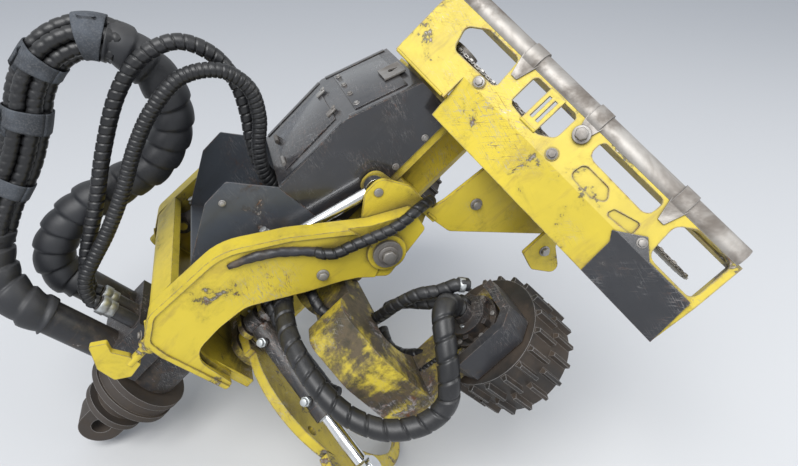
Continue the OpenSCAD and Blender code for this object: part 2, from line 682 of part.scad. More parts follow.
module saw_bar() placed() color("#2f3032") in_saw_box() difference() {
  translate([bar_x - bar_t / 2, 0, 0]) rotate([90, 0, 90]) linear_extrude(bar_t) {
    translate([-bar_pivot[0], bar_pivot[1]]) circle(r = bar_w / 2 - 4);
    polygon([[-bar_pivot[0], bar_pivot[1] - bar_w / 2 + 4],
      [-bar_pivot[0], bar_pivot[1] + bar_w / 2 - 4],
      [-bar_pivot[0] - 200, bar_pivot[1] + bar_w / 2],
      [-bar_pivot[0] - bar_len + bar_w / 2, bar_pivot[1] + bar_w / 2 - 4],
      [-bar_pivot[0] - bar_len + bar_w / 2, bar_pivot[1] - bar_w / 2 + 4],
      [-bar_pivot[0] - 200, bar_pivot[1] - bar_w / 2]]);
    translate([-bar_pivot[0] - bar_len + bar_w / 2, bar_pivot[1]]) circle(r = bar_w / 2 - 4);
  }
  bar_x([-bar_pivot[0], bar_pivot[1]], bar_x - 20, bar_x + 20, saw_shaft_r + pin_play);
}

module saw_shaft() placed() color(worn_steel) in_saw_box() {
  bar_x([-bar_pivot[0], bar_pivot[1]], chassis_front + 2, bar_x + 14, saw_shaft_r);
  bar_x([-bar_pivot[0], bar_pivot[1]], bar_x + bar_t / 2, bar_x + 16, 36);
  bar_x([-bar_pivot[0], bar_pivot[1]], bar_x - 22, bar_x - bar_t / 2, 36);
}

module top_knife() placed() color(yellow) translate([nose_end - 16, 0, 0])
  rotate([90, 0, 90]) linear_extrude(16) difference() {
    polygon([[-130, -128], [-118, -40], [-60, -10], [60, -10], [118, -40], [130, -128]]);
    translate([0, -trunk_z]) circle(r = trunk_r - 2);
  }

module pivot_shafts() placed() color(worn_steel) {
  bar_x(knife_pivot, nose_end, -476 + lug_t, shaft_r);
  far_side() bar_x(knife_pivot, nose_end, -438 + lug_t, shaft_r);
  both_sides() bar_x(arm_pivot, arm_x0 - 6 - lug_t, arm_x0 + arm_len + 6 + lug_t, shaft_r);
}

module measuring_arm() placed() color(steel_black) {
  difference() {
    for (y = [22, -30]) side_plate([[measure_pivot.x + 16, measure_pivot.y + 14, 14],
      [measure_wheel.x - 18, measure_wheel.y + 14, 14],
      [measure_wheel.x - 10, measure_wheel.y - 18, 14],
      [measure_pivot.x + 20, measure_pivot.y - 16, 14]], y, 8);
    bar_y(measure_pivot, -40, 40, 11 + pin_play);
  }
  bar_y(measure_wheel, -30, 30, 9);
}

module measuring_wheel() placed() color(worn_steel) difference() {
  union() {
    bar_y(measure_wheel, -16, 16, measure_r - 6);
    for (a = [0 : 20 : 340]) translate([measure_wheel.x, 0, measure_wheel.y])
      rotate([0, a, 0]) block([measure_r - 10, -14, -4], [measure_r, 14, 4]);
  }
  bar_y(measure_wheel, -20, 20, 9 + pin_play);
}

knife_outer = [-200, -290];
knife_inner = [-195, -350];
sling_hole = [-455, -150];
bevel_w = 14;

module knife_blade(x) difference() {
  union() {
    translate([x, 0, 0]) rotate([90, 0, 90]) linear_extrude(knife_t) difference() {
      union() {
        intersection() {
          translate(knife_outer) circle(r = knife_outer_r);
          polygon([[-240, 60], [-215, -111], [-195, -350], [-262, -700], [-700, -700],
            [-700, 60]]);
        }
        polygon([[-165, 52], [-240, 42], [-240, -90], [-212, -106], [-190, -46]]);
      }
      translate(knife_inner) circle(r = trunk_r);
    }
    bar_x(knife_pivot, x - 3, x + knife_t + 4, boss_r);
  }
  // Bevel of the cutting edge, and the hole for a sling
  translate([x - 0.1, knife_inner.x, knife_inner.y]) rotate([0, 90, 0])
    cylinder(h = bevel_w, r1 = trunk_r + bevel_w, r2 = trunk_r);
  bar_x(sling_hole, x - 1, x + knife_t + 1, 15);
  bar_x(knife_pivot, x - 10, x + knife_t + 10, shaft_r + pin_play);
}

knife_rod_eye_w = 40;
knife_eye_boss_r = 20;

module knife(x, cyl_x) {
  knife_blade(x);
  // Lug and boss that the rod's eye turns against
  difference() {
    cross_plate([[-508, -190, 8], [-590, -212, 30], [-632, -240, 30], [-612, -285, 30],
      [-516, -330, 8]], x, knife_t);
    translate([x - 1, knife_inner.x, knife_inner.y]) rotate([0, 90, 0])
      cylinder(h = knife_t + 2, r = trunk_r);
  }
  bar_x(knife_eye, x + knife_t, cyl_x - knife_rod_eye_w / 2 - side_gap, knife_eye_boss_r);
}

module knife_near() placed() color(yellow) knife(knife_x[0], knife_cyl_x[0]);
module knife_far() placed() color(yellow) far_side() knife(knife_x[1], knife_cyl_x[1]);

knife_len = norm(knife_eye - knife_base);
knife_cyl_eye_r = 32;
knife_cyl_eye_w = 40;

module knife_barrel(x) aim_yz(knife_base, knife_eye, x) difference() {
  union() {
    bar_x([0, 0], -knife_cyl_eye_w / 2, knife_cyl_eye_w / 2, knife_cyl_eye_r);
    translate([0, knife_barrel_len, 0]) rotate([90, 0, 0])
      cylinder(h = knife_barrel_len - 24, r = knife_barrel_r);
    translate([0, knife_barrel_len, 0]) rotate([90, 0, 0])
      cylinder(h = 34, r = knife_barrel_r + gland_lip);
    for (y = [72, knife_barrel_len - 58]) translate([0, y, -knife_barrel_r - 12])
      cylinder(h = knife_barrel_r + 12, r = port_r);
  }
  bar_x([0, 0], -50, 50, 16 + pin_play);
  translate([0, knife_barrel_len - 45, 0]) rotate([90, 0, 0])
    cylinder(h = knife_barrel_len - 105, r = knife_barrel_r - 6);
  translate([0, knife_barrel_len + 1, 0]) rotate([90, 0, 0])
    cylinder(h = knife_barrel_len - 50, r = knife_rod_r + pin_play);
}

module knife_rod(x) aim_yz(knife_base, knife_eye, x) {
  translate([0, knife_len, 0]) rotate([90, 0, 0])
    cylinder(h = knife_len - 200, r = knife_rod_r);
  bar_x([knife_len, 0], -knife_rod_eye_w / 2, knife_rod_eye_w / 2, knife_cyl_eye_r);
  bar_x([knife_len, 0], knife_rod_eye_w / 2, knife_rod_eye_w / 2 + 10, 24);
}

module knife_barrel_near() placed() color(steel_black) knife_barrel(knife_cyl_x[0]);
module knife_barrel_far() placed() color(steel_black) far_side() knife_barrel(knife_cyl_x[1]);
module knife_rod_near() placed() color(bare_steel) knife_rod(knife_cyl_x[0]);
module knife_rod_far() placed() color(bare_steel) far_side() knife_rod(knife_cyl_x[1]);

hand_z = -235;

module roller_arm() difference() {
  union() {
    difference() {
      cross_plate(roller_arm_corners, arm_x0, arm_len);
      cross_plate(roller_arm_pocket, arm_x0 + plate_t, arm_len - 2 * plate_t);
    }
    bar_x(arm_pivot, arm_x0, arm_x0 + arm_len, boss_r - 2);
    block([arm_x0, -590, hand_z], [roller_x + 80, -425, hand_z + plate_t]);
  }
  bar_x(arm_pivot, arm_x0 - 1, arm_x0 + arm_len + 1, shaft_r + pin_play);
  translate([roller_x, -roller_y, hand_z - 1]) cylinder(h = plate_t + 2, r = motor_r);
}

module roller_motor() translate([roller_x, -roller_y, 0]) {
  translate([0, 0, hand_z + plate_t]) cylinder(h = 16, r = motor_r + 14);
  translate([0, 0, hand_z + plate_t + 15]) cylinder(h = 35, r = motor_r - 2);
  for (a = [0 : 60 : 300]) rotate([0, 0, a]) translate([motor_r - 4, -7, hand_z + plate_t + 15])
    cube([12, 14, 26]);
  translate([0, 0, hand_z + plate_t + 50]) cylinder(h = 25, r = roller_bundle_r);
  translate([0, 0, -roller_z - roller_w / 2 + 16])
    cylinder(h = roller_z + roller_w / 2 - 16 + hand_z + plate_t + 1, r = motor_r);
}

// Bent wall round the motor, and the lip along its top
module roller_guard() {
  outer = [[-50, -590], [-30, -618], [116, -618], [156, -585], [156, -470]];
  translate([0, 0, hand_z - 12]) linear_extrude(guard_h)
    polygon(concat(outer, [[130, -470], [130, -478], [148, -478], [148, -581],
      [113, -610], [-26, -610], [-40, -590]]));
  translate([0, 0, hand_z - 12 + guard_h - guard_lip_t]) linear_extrude(guard_lip_t)
    polygon(concat(outer, [[132, -470], [132, -574], [106, -594], [-16, -594], [-22, -590]]));
}
guard_h = 84;
guard_lip_t = 8;

module feed_roller() translate([roller_x, -roller_y, -roller_z - roller_w / 2]) {
  difference() {
    cylinder(h = roller_w, r = drum_r);
    translate([0, 0, -1]) cylinder(h = roller_w + 2, r = motor_r + pin_play);
  }
  // Two staggered rings of tapered cleats
  for (ring = [0, 1], i = [0 : cleat_rows - 1])
    rotate([0, 0, (i + ring / 2) * 360 / cleat_rows])
      translate([0, 0, 5 + ring * (roller_w / 2 - 2)]) linear_extrude(roller_w / 2 - 8)
        polygon([[drum_r - 4, -cleat_w / 2], [drum_r + cleat_h, -cleat_w / 4],
          [drum_r + cleat_h, cleat_w / 4], [drum_r - 4, cleat_w / 2]]);
}

module roller_arm_near() placed() color(yellow) roller_arm();
module roller_arm_far() placed() color(yellow) far_side() roller_arm();
module roller_motor_near() placed() color(steel_black) roller_motor();
module roller_motor_far() placed() color(steel_black) far_side() roller_motor();
module roller_guard_near() placed() color(steel_black) roller_guard();
module roller_guard_far() placed() color(steel_black) far_side() roller_guard();
module feed_roller_near() placed() color(steel_black) feed_roller();
module feed_roller_far() placed() color(steel_black) far_side() feed_roller();
module roller_hoses_near() placed() color(hose_black)
  hose(roller_route, roller_bundle_r, 10, [0, 0.3, 1]);
module roller_hoses_far() placed() color(hose_black)
  far_side() hose(roller_route, roller_bundle_r, 10, [0, 0.3, 1]);

hanger();
rotator_ring();
rotator();
tilt_frame();
tilt_pins();
hose_bracket();
hose_manifold();
crane_hoses();
tilt_hoses();
tilt_barrel_near();
tilt_barrel_far();
tilt_rod_near();
tilt_rod_far();
chassis();
tilt_ears();
pivot_lugs();
valve_cover();
hose_chute();
valve_block();
saw_box();
saw_wear_bar();
saw_end_plate();
saw_motor();
top_knife();
pivot_shafts();
saw_bar();
saw_shaft();
measuring_arm();
measuring_wheel();
knife_near();
knife_far();
knife_barrel_near();
knife_barrel_far();
knife_rod_near();
knife_rod_far();
roller_arm_near();
roller_arm_far();
roller_motor_near();
roller_motor_far();
roller_guard_near();
roller_guard_far();
feed_roller_near();
feed_roller_far();
roller_hoses_near();
roller_hoses_far();
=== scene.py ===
"""Harvester head on its tilt frame: finishes, hoses, fittings, floor, light and camera."""
import math

import bmesh
import bpy
from bpy.props import FloatProperty, FloatVectorProperty, IntProperty, PointerProperty
from mathutils import Matrix, Vector


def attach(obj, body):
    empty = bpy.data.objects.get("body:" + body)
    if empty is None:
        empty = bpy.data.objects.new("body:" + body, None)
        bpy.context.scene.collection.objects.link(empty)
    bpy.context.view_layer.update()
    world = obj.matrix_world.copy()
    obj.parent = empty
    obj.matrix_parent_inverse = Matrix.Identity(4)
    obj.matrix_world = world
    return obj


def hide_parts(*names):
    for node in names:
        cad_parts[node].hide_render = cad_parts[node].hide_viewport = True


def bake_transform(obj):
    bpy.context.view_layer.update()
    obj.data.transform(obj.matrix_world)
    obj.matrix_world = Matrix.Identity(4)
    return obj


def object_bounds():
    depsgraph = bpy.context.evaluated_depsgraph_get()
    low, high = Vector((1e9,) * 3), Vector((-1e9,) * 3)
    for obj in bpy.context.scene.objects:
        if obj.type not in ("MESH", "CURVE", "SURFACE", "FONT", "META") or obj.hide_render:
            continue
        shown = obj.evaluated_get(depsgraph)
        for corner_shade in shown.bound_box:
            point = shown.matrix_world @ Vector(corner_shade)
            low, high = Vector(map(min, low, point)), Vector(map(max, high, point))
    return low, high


bl_info = {
    "name": "Harvester Head Dressing",
    "version": (1, 0, 0),
    "blender": (4, 5, 0),
    "location": "3D View > Sidebar > Head",
    "description": "Finishes and fittings of a felling and delimbing head",
    "category": "Object",
}

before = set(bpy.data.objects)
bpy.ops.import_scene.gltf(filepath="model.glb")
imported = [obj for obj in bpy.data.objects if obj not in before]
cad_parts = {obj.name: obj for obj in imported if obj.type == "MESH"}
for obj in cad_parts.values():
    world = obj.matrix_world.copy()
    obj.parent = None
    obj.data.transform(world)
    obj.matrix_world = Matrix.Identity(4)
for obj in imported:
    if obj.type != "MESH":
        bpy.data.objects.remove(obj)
CAD_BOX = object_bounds()

# The head's own frame, in metres: x along the tree, z out of its back, near side at -y
PITCH = math.radians(43)
HEAD = Matrix.Rotation(-PITCH, 4, "Y") @ Matrix.Translation((1.110, 0, -0.105))

SIDES = (("near", 1), ("far", -1))

# Lines that the hoses follow in the head's own frame
CRANE_ROUTE = [
    (-.745, .065, .440), (-.745, .065, .490), (-.705, .065, .545), (-.620, .068, .572),
    (-.520, .078, .565), (-.400, .090, .525), (-.310, .090, .505), (-.215, .090, .525),
    (-.145, .090, .580), (-.110, .090, .660), (-.105, .090, .750), (-.145, .090, .830),
    (-.230, .090, .865), (-.330, .090, .850), (-.430, .080, .800), (-.530, .070, .760),
    (-.640, .050, .735), (-.740, .020, .690), (-.800, -.020, .620), (-.815, -.050, .545),
    (-.815, -.055, .500), (-.815, -.055, .470)]
TILT_ROUTE_A = [
    (-.690, -.075, .400), (-.690, -.075, .425), (-.640, -.070, .470), (-.500, -.055, .505),
    (-.380, -.050, .545), (-.260, -.050, .595), (-.150, -.050, .625), (-.040, -.050, .625),
    (.035, -.050, .570), (.050, -.050, .490), (.010, -.050, .420), (-.055, -.050, .365),
    (-.103, -.050, .305), (-.115, -.050, .245), (-.115, -.050, .200)]
TILT_ROUTE_B = [
    (-.690, -.025, .400), (-.690, -.025, .430), (-.620, -.015, .490), (-.470, -.005, .565),
    (-.330, 0, .640), (-.190, 0, .700), (-.080, 0, .715), (.010, 0, .680), (.045, 0, .600),
    (.030, 0, .510), (-.015, 0, .435), (-.065, 0, .375), (-.103, 0, .315),
    (-.115, 0, .250), (-.115, 0, .200)]
ROLLER_ROUTE = [
    (-.290, -.170, .088), (-.290, -.200, .088), (-.300, -.290, .093), (-.312, -.380, .082),
    (-.316, -.460, .050), (-.314, -.540, 0), (-.298, -.605, -.065), (-.255, -.650, -.130),
    (-.185, -.668, -.178), (-.110, -.665, -.185), (-.055, -.645, -.142), (-.010, -.600, -.100),
    (.025, -.550, -.075), (.046, -.515, -.085), (.050, -.500, -.112), (.050, -.500, -.140)]

# Hoses of the roller motors beside the large bundle: radius, guard pitch and route
ROLLER_FEEDS = {
    "upper": (.0165, .027, [
        (-.170, -.270, -.085), (-.172, -.315, -.100), (-.160, -.350, -.095),
        (-.118, -.385, -.078), (-.062, -.420, -.058), (.004, -.456, -.052),
        (.050, -.478, -.070), (.096, -.494, -.082), (.114, -.497, -.104)]),
    "second": (.0155, .030, [
        (-.150, -.290, -.150), (-.122, -.335, -.120), (-.096, -.365, -.090),
        (-.050, -.400, -.090), (-.006, -.435, -.112), (.036, -.460, -.128),
        (.066, -.478, -.140), (.066, -.480, -.168)]),
    "third": (.0165, .032, [
        (-.196, -.280, -.200), (-.205, -.335, -.215), (-.188, -.375, -.232),
        (-.150, -.420, -.226), (-.092, -.462, -.238), (-.050, -.490, -.250),
        (-.006, -.512, -.252), (.030, -.530, -.225), (.040, -.520, -.190)]),
    "thin": (.0085, .012, [
        (-.250, -.440, -.262), (-.205, -.478, -.236), (-.146, -.492, -.222),
        (-.090, -.504, -.218), (-.050, -.514, -.214), (-.012, -.524, -.208),
        (.018, -.530, -.190), (.030, -.525, -.165)]),
}

# Hoses that lie on the head: radius, guard pitch and route
HEAD_HOSES = {
    "knife_feed": (.0185, .030, [
        (-.300, -.175, .084), (-.318, -.200, .100), (-.332, -.222, .108), (-.345, -.248, .082),
        (-.358, -.270, .050), (-.372, -.292, .002), (-.385, -.318, -.060),
        (-.396, -.345, -.118), (-.398, -.372, -.150), (-.380, -.400, -.160)]),
    "loop": (.0150, .026, [
        (-.236, -.176, .082), (-.232, -.205, .070), (-.232, -.240, .052), (-.236, -.275, .040),
        (-.240, -.305, .010), (-.226, -.320, -.028), (-.200, -.322, -.062),
        (-.186, -.305, -.100), (-.184, -.270, -.120), (-.186, -.230, -.120)]),
}

# Guarded hose that crosses the near tilt pin, and the scraped sleeve that it comes out of
ARM_HOSE = [
    (-.116, -.300, .150), (-.100, -.312, .134), (-.079, -.317, .116), (-.045, -.318, .102),
    (-.008, -.318, .084), (.029, -.318, .066), (.064, -.315, .049), (.100, -.306, .036),
    (.134, -.290, .024), (.160, -.266, .004), (.176, -.244, -.016)]
ARM_SLEEVE = [
    (-.283, -.2985, .295), (-.242, -.2985, .276), (-.206, -.2985, .253),
    (-.171, -.2985, .221), (-.140, -.2985, .185), (-.114, -.2985, .147)]


# Settings that a user would change

class HeadPaint(bpy.types.PropertyGroup):
    """Colours of the head's finishes"""
    yellow: FloatVectorProperty(
        name="Yellow", description="Paint of the frame, arms and saw box",
        subtype="COLOR", size=3, default=(.610, .470, .034), min=0, max=1)
    black: FloatVectorProperty(
        name="Black", description="Paint of the cover and the cylinders",
        subtype="COLOR", size=3, default=(.0125, .0130, .0155), min=0, max=1)
    grey: FloatVectorProperty(
        name="Grey", description="Paint of the hose chute",
        subtype="COLOR", size=3, default=(.060, .068, .080), min=0, max=1)
    wear: FloatProperty(
        name="Wear", description="Width of the bare edges", subtype="DISTANCE",
        default=.005, min=.001, max=.02)


class HeadHoses(bpy.types.PropertyGroup):
    """Sizes of the hoses and their guards"""
    tilt_radius: FloatProperty(
        name="Tilt hose", description="Radius of the tilt frame's hoses",
        subtype="DISTANCE", default=.0185, min=.01, max=.03)
    guard_pitch: FloatProperty(
        name="Guard pitch", description="Length of one turn of a spiral guard",
        subtype="DISTANCE", default=.021, min=.01, max=.05)
    wrap_radius: FloatProperty(
        name="Wrap radius", description="Radius of the wide wrap round the crane's hoses",
        subtype="DISTANCE", default=.057, min=.03, max=.07)
    sides: IntProperty(
        name="Sides", description="Faces round a hose", default=22, min=8, max=32)


class HeadStage(bpy.types.PropertyGroup):
    """Floor, light and camera"""
    lens: FloatProperty(
        name="Lens", description="Focal length of the camera, in millimetres",
        default=27.07, min=10, max=200)
    lamp: FloatProperty(
        name="Lamp", description="Power of the large overhead lamp, in watts",
        default=860, min=0, max=3000)
    floor_tone: FloatProperty(
        name="Floor tone", description="Lightness of the floor",
        default=.55, min=0, max=1)


# Shader maths

class Socket:
    """A node's output whose operators add Math nodes to its finish."""

    def __init__(self, finish, output):
        self.finish = finish
        self.output = output

    def _math(self, operation, first, second=None, clamp=False):
        values = {0: first}
        if second is not None:
            values[1] = second
        settings = {"operation": operation, "use_clamp": clamp}
        return self.finish.add("ShaderNodeMath", settings, values)

    def __add__(self, other):
        return self._math("ADD", self, other)

    __radd__ = __add__

    def __sub__(self, other):
        return self._math("SUBTRACT", self, other)

    def __rsub__(self, other):
        return self._math("SUBTRACT", other, self)

    def __mul__(self, other):
        return self._math("MULTIPLY", self, other)

    __rmul__ = __mul__

    def clamped(self):
        """The value held between 0 and 1"""
        return self._math("ADD", self, 0, clamp=True)

    def absolute(self):
        """The value without its sign"""
        return self._math("ABSOLUTE", self)

    def larger(self, other):
        """The larger of two values"""
        return self._math("MAXIMUM", self, other)

    def step(self, low, high):
        """A smooth rise from 0 at low to 1 at high"""
        values = {0: self, 1: low, 2: high, 3: 0, 4: 1}
        return self.finish.add("ShaderNodeMapRange", {"interpolation_type": "SMOOTHSTEP"}, values)


class Finish:
    """One material, made node by node."""

    def __init__(self, name):
        self.material = bpy.data.materials.new(name)
        self.material.use_nodes = True
        self.tree = self.material.node_tree
        self.tree.nodes.clear()
        self.shader = self.tree.nodes.new("ShaderNodeBsdfPrincipled")
        surface = self.tree.nodes.new("ShaderNodeOutputMaterial")
        self.tree.links.new(self.shader.outputs[0], surface.inputs[0])

    def add(self, kind, settings=None, values=None, out=0):
        """One node with its settings, the values or links of its sockets, and one output"""
        node = self.tree.nodes.new(kind)
        for key, value in (settings or {}).items():
            setattr(node, key, value)
        for key, value in (values or {}).items():
            self.join(node.inputs[key], value)
        return Socket(self, node.outputs[out])

    def join(self, target, value):
        """Link or set one socket"""
        if isinstance(value, Socket):
            self.tree.links.new(value.output, target)
            return
        if target.type == "RGBA" and len(value) == 3:
            value = (*value, 1)
        target.default_value = value

    def place(self):
        """Object coordinates, in metres"""
        return self.add("ShaderNodeTexCoord", out="Object")

    def stretched(self, scale, turn):
        """Object coordinates turned and then scaled along their axes"""
        turned = self.add("ShaderNodeMapping", None, {"Vector": self.place(), "Rotation": turn})
        return self.add("ShaderNodeMapping", None, {"Vector": turned, "Scale": scale})

    def noise(self, scale, detail, rough, at=None, warp=0):
        """Fractal noise from 0 to 1"""
        values = {"Vector": at or self.place(), "Scale": scale, "Detail": detail,
                  "Roughness": rough, "Distortion": warp}
        return self.add("ShaderNodeTexNoise", None, values)

    def mix(self, factor, first, second):
        """Colour between two colours"""
        values = {0: factor, 6: first, 7: second}
        return self.add("ShaderNodeMix", {"data_type": "RGBA"}, values, 2)

    def edges(self, radius):
        """1 on edges, falling to 0 within the radius"""
        soft = self.add("ShaderNodeBevel", {"samples": 6}, {"Radius": radius})
        flat = self.add("ShaderNodeNewGeometry", out="Normal")
        product = {"operation": "DOT_PRODUCT"}
        same = self.add("ShaderNodeVectorMath", product, {0: soft, 1: flat}, 1)
        return (1 - same).step(.01, .22)

    def corners(self, reach):
        """Painted shade mask from ambient occlusion: 1 deep in corners and gaps, 0 in the open"""
        settings = {"samples": 6, "only_local": False}
        open_sky = self.add("ShaderNodeAmbientOcclusion", settings, {"Distance": reach}, "AO")
        return (1 - open_sky).step(.12, .75)

    def upward(self):
        """1 on faces that look up as the head lies"""
        normal = self.add("ShaderNodeTexCoord", out="Normal")
        z = self.add("ShaderNodeSeparateXYZ", None, {0: normal}, 2)
        return z.step(.15, .95)

    def scratches(self, scale=9, thin=.018):
        """Thin broken lines in two directions"""
        first = self.noise(scale, 2, .5, self.stretched((1, 26, 2.2), (.3, .5, .8)))
        second = self.noise(scale, 2, .5, self.stretched((24, 1.4, 1), (.8, .3, .5)))
        patchy = self.noise(3.1, 3, .6).step(.46, .62)
        one, two = (1 - (line - .5).absolute().step(0, thin) for line in (first, second))
        return one.larger(two) * patchy

    def normal(self, height, strength, distance, radius=.0015):
        """Bump on slightly rounded edges"""
        soft = self.add("ShaderNodeBevel", {"samples": 4}, {"Radius": radius})
        values = {"Height": height, "Strength": strength, "Distance": distance, "Normal": soft}
        self.set("Normal", self.add("ShaderNodeBump", None, values))

    def set(self, socket, value):
        """Value or link of one of the surface's own sockets"""
        self.join(self.shader.inputs[socket], value)


EARTH = (.066, .046, .030)
OIL = (.014, .012, .011)
STAIN = (.300, .200, .045)
SMEAR = (.034, .035, .038)
DUST = (.155, .145, .130)
PRIMER = (.040, .036, .034)
STEEL = (.36, .35, .34)
RUST = (.135, .055, .022)


def worn_paint(name, paint, shade, wear, chips=.57, dirt_and_shade=.8, dust=.15, gloss=.42, oil=0,
               stain=STAIN, coat=0):
    """Paint that is stained, oiled, chipped, scratched and worn bare along its edges, with
    painted shade darkening its corners and gaps
    """
    f = Finish(name)
    broad = f.noise(2.6, 5, .62)
    grain = f.noise(38, 6, .68)
    blotch = f.noise(9, 7, .72, warp=.4)
    streak = f.noise(5, 6, .66, f.stretched((1, 1.6, 5), (.2, .75, 0)), .6)
    base = f.mix(broad.step(.35, .68), paint, shade)
    base = f.mix(streak.step(.50, .72) * dirt_and_shade * .55, base, stain)
    # Painted shade: ambient occlusion darkens corners, gaps and faces close under other parts
    # towards earth and oil colours, mixed with blotchy soil and streaks; the same mask keeps bare
    # edges out of these corners
    corner_shade = f.corners(.075)
    soot_and_corner_shade = (corner_shade * 1.1 + blotch.step(.50, .70) * .45).clamped() * dirt_and_shade
    grime_and_corner_shade = (soot_and_corner_shade * streak.step(.22, .50)).clamped()
    base = f.mix(grime_and_corner_shade, base, f.mix(grain.step(.35, .65), EARTH, OIL))
    if oil:
        fouled = f.noise(4.2, 9, .74, warp=.3)
        film = (fouled + streak * .35 + grain * .12 - (.86 - oil * .46)).step(0, .16)
        base = f.mix(film * .95, base, f.mix(grain.step(.35, .7), OIL, EARTH))
        grime_and_corner_shade = grime_and_corner_shade.larger(film)
    base = f.mix(f.upward() * grain.step(.3, .75) * dust, base, DUST)
    edge = f.edges(wear) * (1 - corner_shade)
    flakes = blotch.step(chips + .085, chips + .105) * grain.step(.38, .48)
    bare = (edge * grain.step(.40, .60)).larger(flakes).larger(f.scratches() * .85)
    rim = (edge * grain.step(.32, .52)).larger(blotch.step(chips + .055, chips + .08))
    base = f.mix(rim * .8, base, PRIMER)
    base = f.mix(bare, base, f.mix(grain.step(.4, .65), STEEL, RUST))
    f.set("Base Color", base)
    f.set("Metallic", bare * .55)
    f.set("Roughness", (gloss + grain * .14 + grime_and_corner_shade * .22 - bare * .05).clamped())
    f.normal(grain * .3 - bare * .6 + blotch * .25 + grime_and_corner_shade * .3, .4, .0014)
    if coat:
        f.set("Coat Weight", coat)
        f.set("Coat Roughness", .10)
    return f.material


def bare_metal(name, colour, dark, metal, grime_and_corner_shade, rough=.42, grain=60):
    """Metal worn bright on its edges, with soil and painted shade darkening its corners"""
    f = Finish(name)
    fine = f.noise(grain, 6, .7)
    broad = f.noise(6, 5, .65, warp=.5)
    # Painted shade: ambient occlusion darkens corners and gaps towards earth colour and dulls
    # them, mixed with broad patches of soil; the same mask keeps worn edges out of these corners
    corner_shade = f.corners(.04)
    dirty_and_shaded = (corner_shade * .9 + broad.step(.42, .68) * .7).clamped() * grime_and_corner_shade
    base = f.mix(broad.step(.3, .7), colour, dark)
    base = f.mix(dirty_and_shaded, base, EARTH)
    base = f.mix(f.edges(.004) * (1 - corner_shade) * .7, base, STEEL)
    f.set("Base Color", base)
    f.set("Metallic", (metal - dirty_and_shaded * .8).clamped())
    f.set("Roughness", (rough + fine * .2 + dirty_and_shaded * .3).clamped())
    f.normal(fine * .6 + broad * .4, .45, .0015)
    return f.material


def chrome_rod():
    """Hard chrome under a film of oil and a little dust"""
    f = Finish("chrome_rod")
    film = f.noise(14, 5, .6)
    f.set("Base Color", f.mix(film.step(.45, .7) * .5, (.74, .75, .76), (.38, .35, .31)))
    f.set("Metallic", 1 - film.step(.6, .8) * .35)
    f.set("Roughness", .10 + film.step(.4, .75) * .22)
    f.normal(film, .05, .0005)
    return f.material


def zinc_plate():
    """Zinc plated fittings, dull and a little stained"""
    f = Finish("zinc_plate")
    bloom = f.noise(70, 5, .65)
    stain = f.noise(18, 4, .6).step(.5, .72)
    f.set("Base Color", f.mix(stain * .6, f.mix(bloom, (.58, .60, .60), (.40, .42, .43)), EARTH))
    f.set("Metallic", .85 - stain * .4)
    f.set("Roughness", .32 + bloom * .22)
    f.normal(bloom, .2, .0006)
    return f.material


def hose_rubber(name="hose_rubber", colour=(.0072, .0074, .0085), dust=.16, sheen=.30):
    """Black plastic guards with a little dust on top, scuffs, and painted shade that makes their
    gaps dark
    """
    f = Finish(name)
    fine = f.noise(130, 5, .7)
    broad = f.noise(7, 5, .62)
    scuff = f.scratches(16, .03)
    top = f.upward() * broad.step(.35, .7) * (.25 + fine * .8) * dust
    base = f.mix(broad.step(.4, .7) * .5, colour, (.018, .018, .019))
    base = f.mix(top.clamped(), base, DUST)
    base = f.mix(scuff * .30, base, (.070, .070, .075))
    # Painted shade: near-black colour in the gaps between guard turns and where other parts lie
    # close
    base = f.mix(f.corners(.012), base, (.003, .003, .003))
    f.set("Base Color", base)
    f.set("Roughness", (sheen + fine * .20 + top * .9).clamped())
    f.normal(fine * .5 + broad * .5, .3, .0008, .0008)
    return f.material


def webbing_strap():
    """Grey woven strap, dusty along its folds"""
    f = Finish("webbing_strap")
    fine = f.noise(240, 3, .7)
    broad = f.noise(11, 5, .65)
    base = f.mix(broad.step(.35, .7), (.062, .070, .082), (.030, .033, .038))
    base = f.mix(fine.step(.45, .7) * .30, base, (.17, .17, .17))
    f.set("Base Color", base)
    f.set("Roughness", .86)
    f.normal(fine, .5, .0010, .0006)
    return f.material


def tinted(colour, factor):
    """A colour made lighter or darker"""
    return tuple(channel * factor for channel in colour)


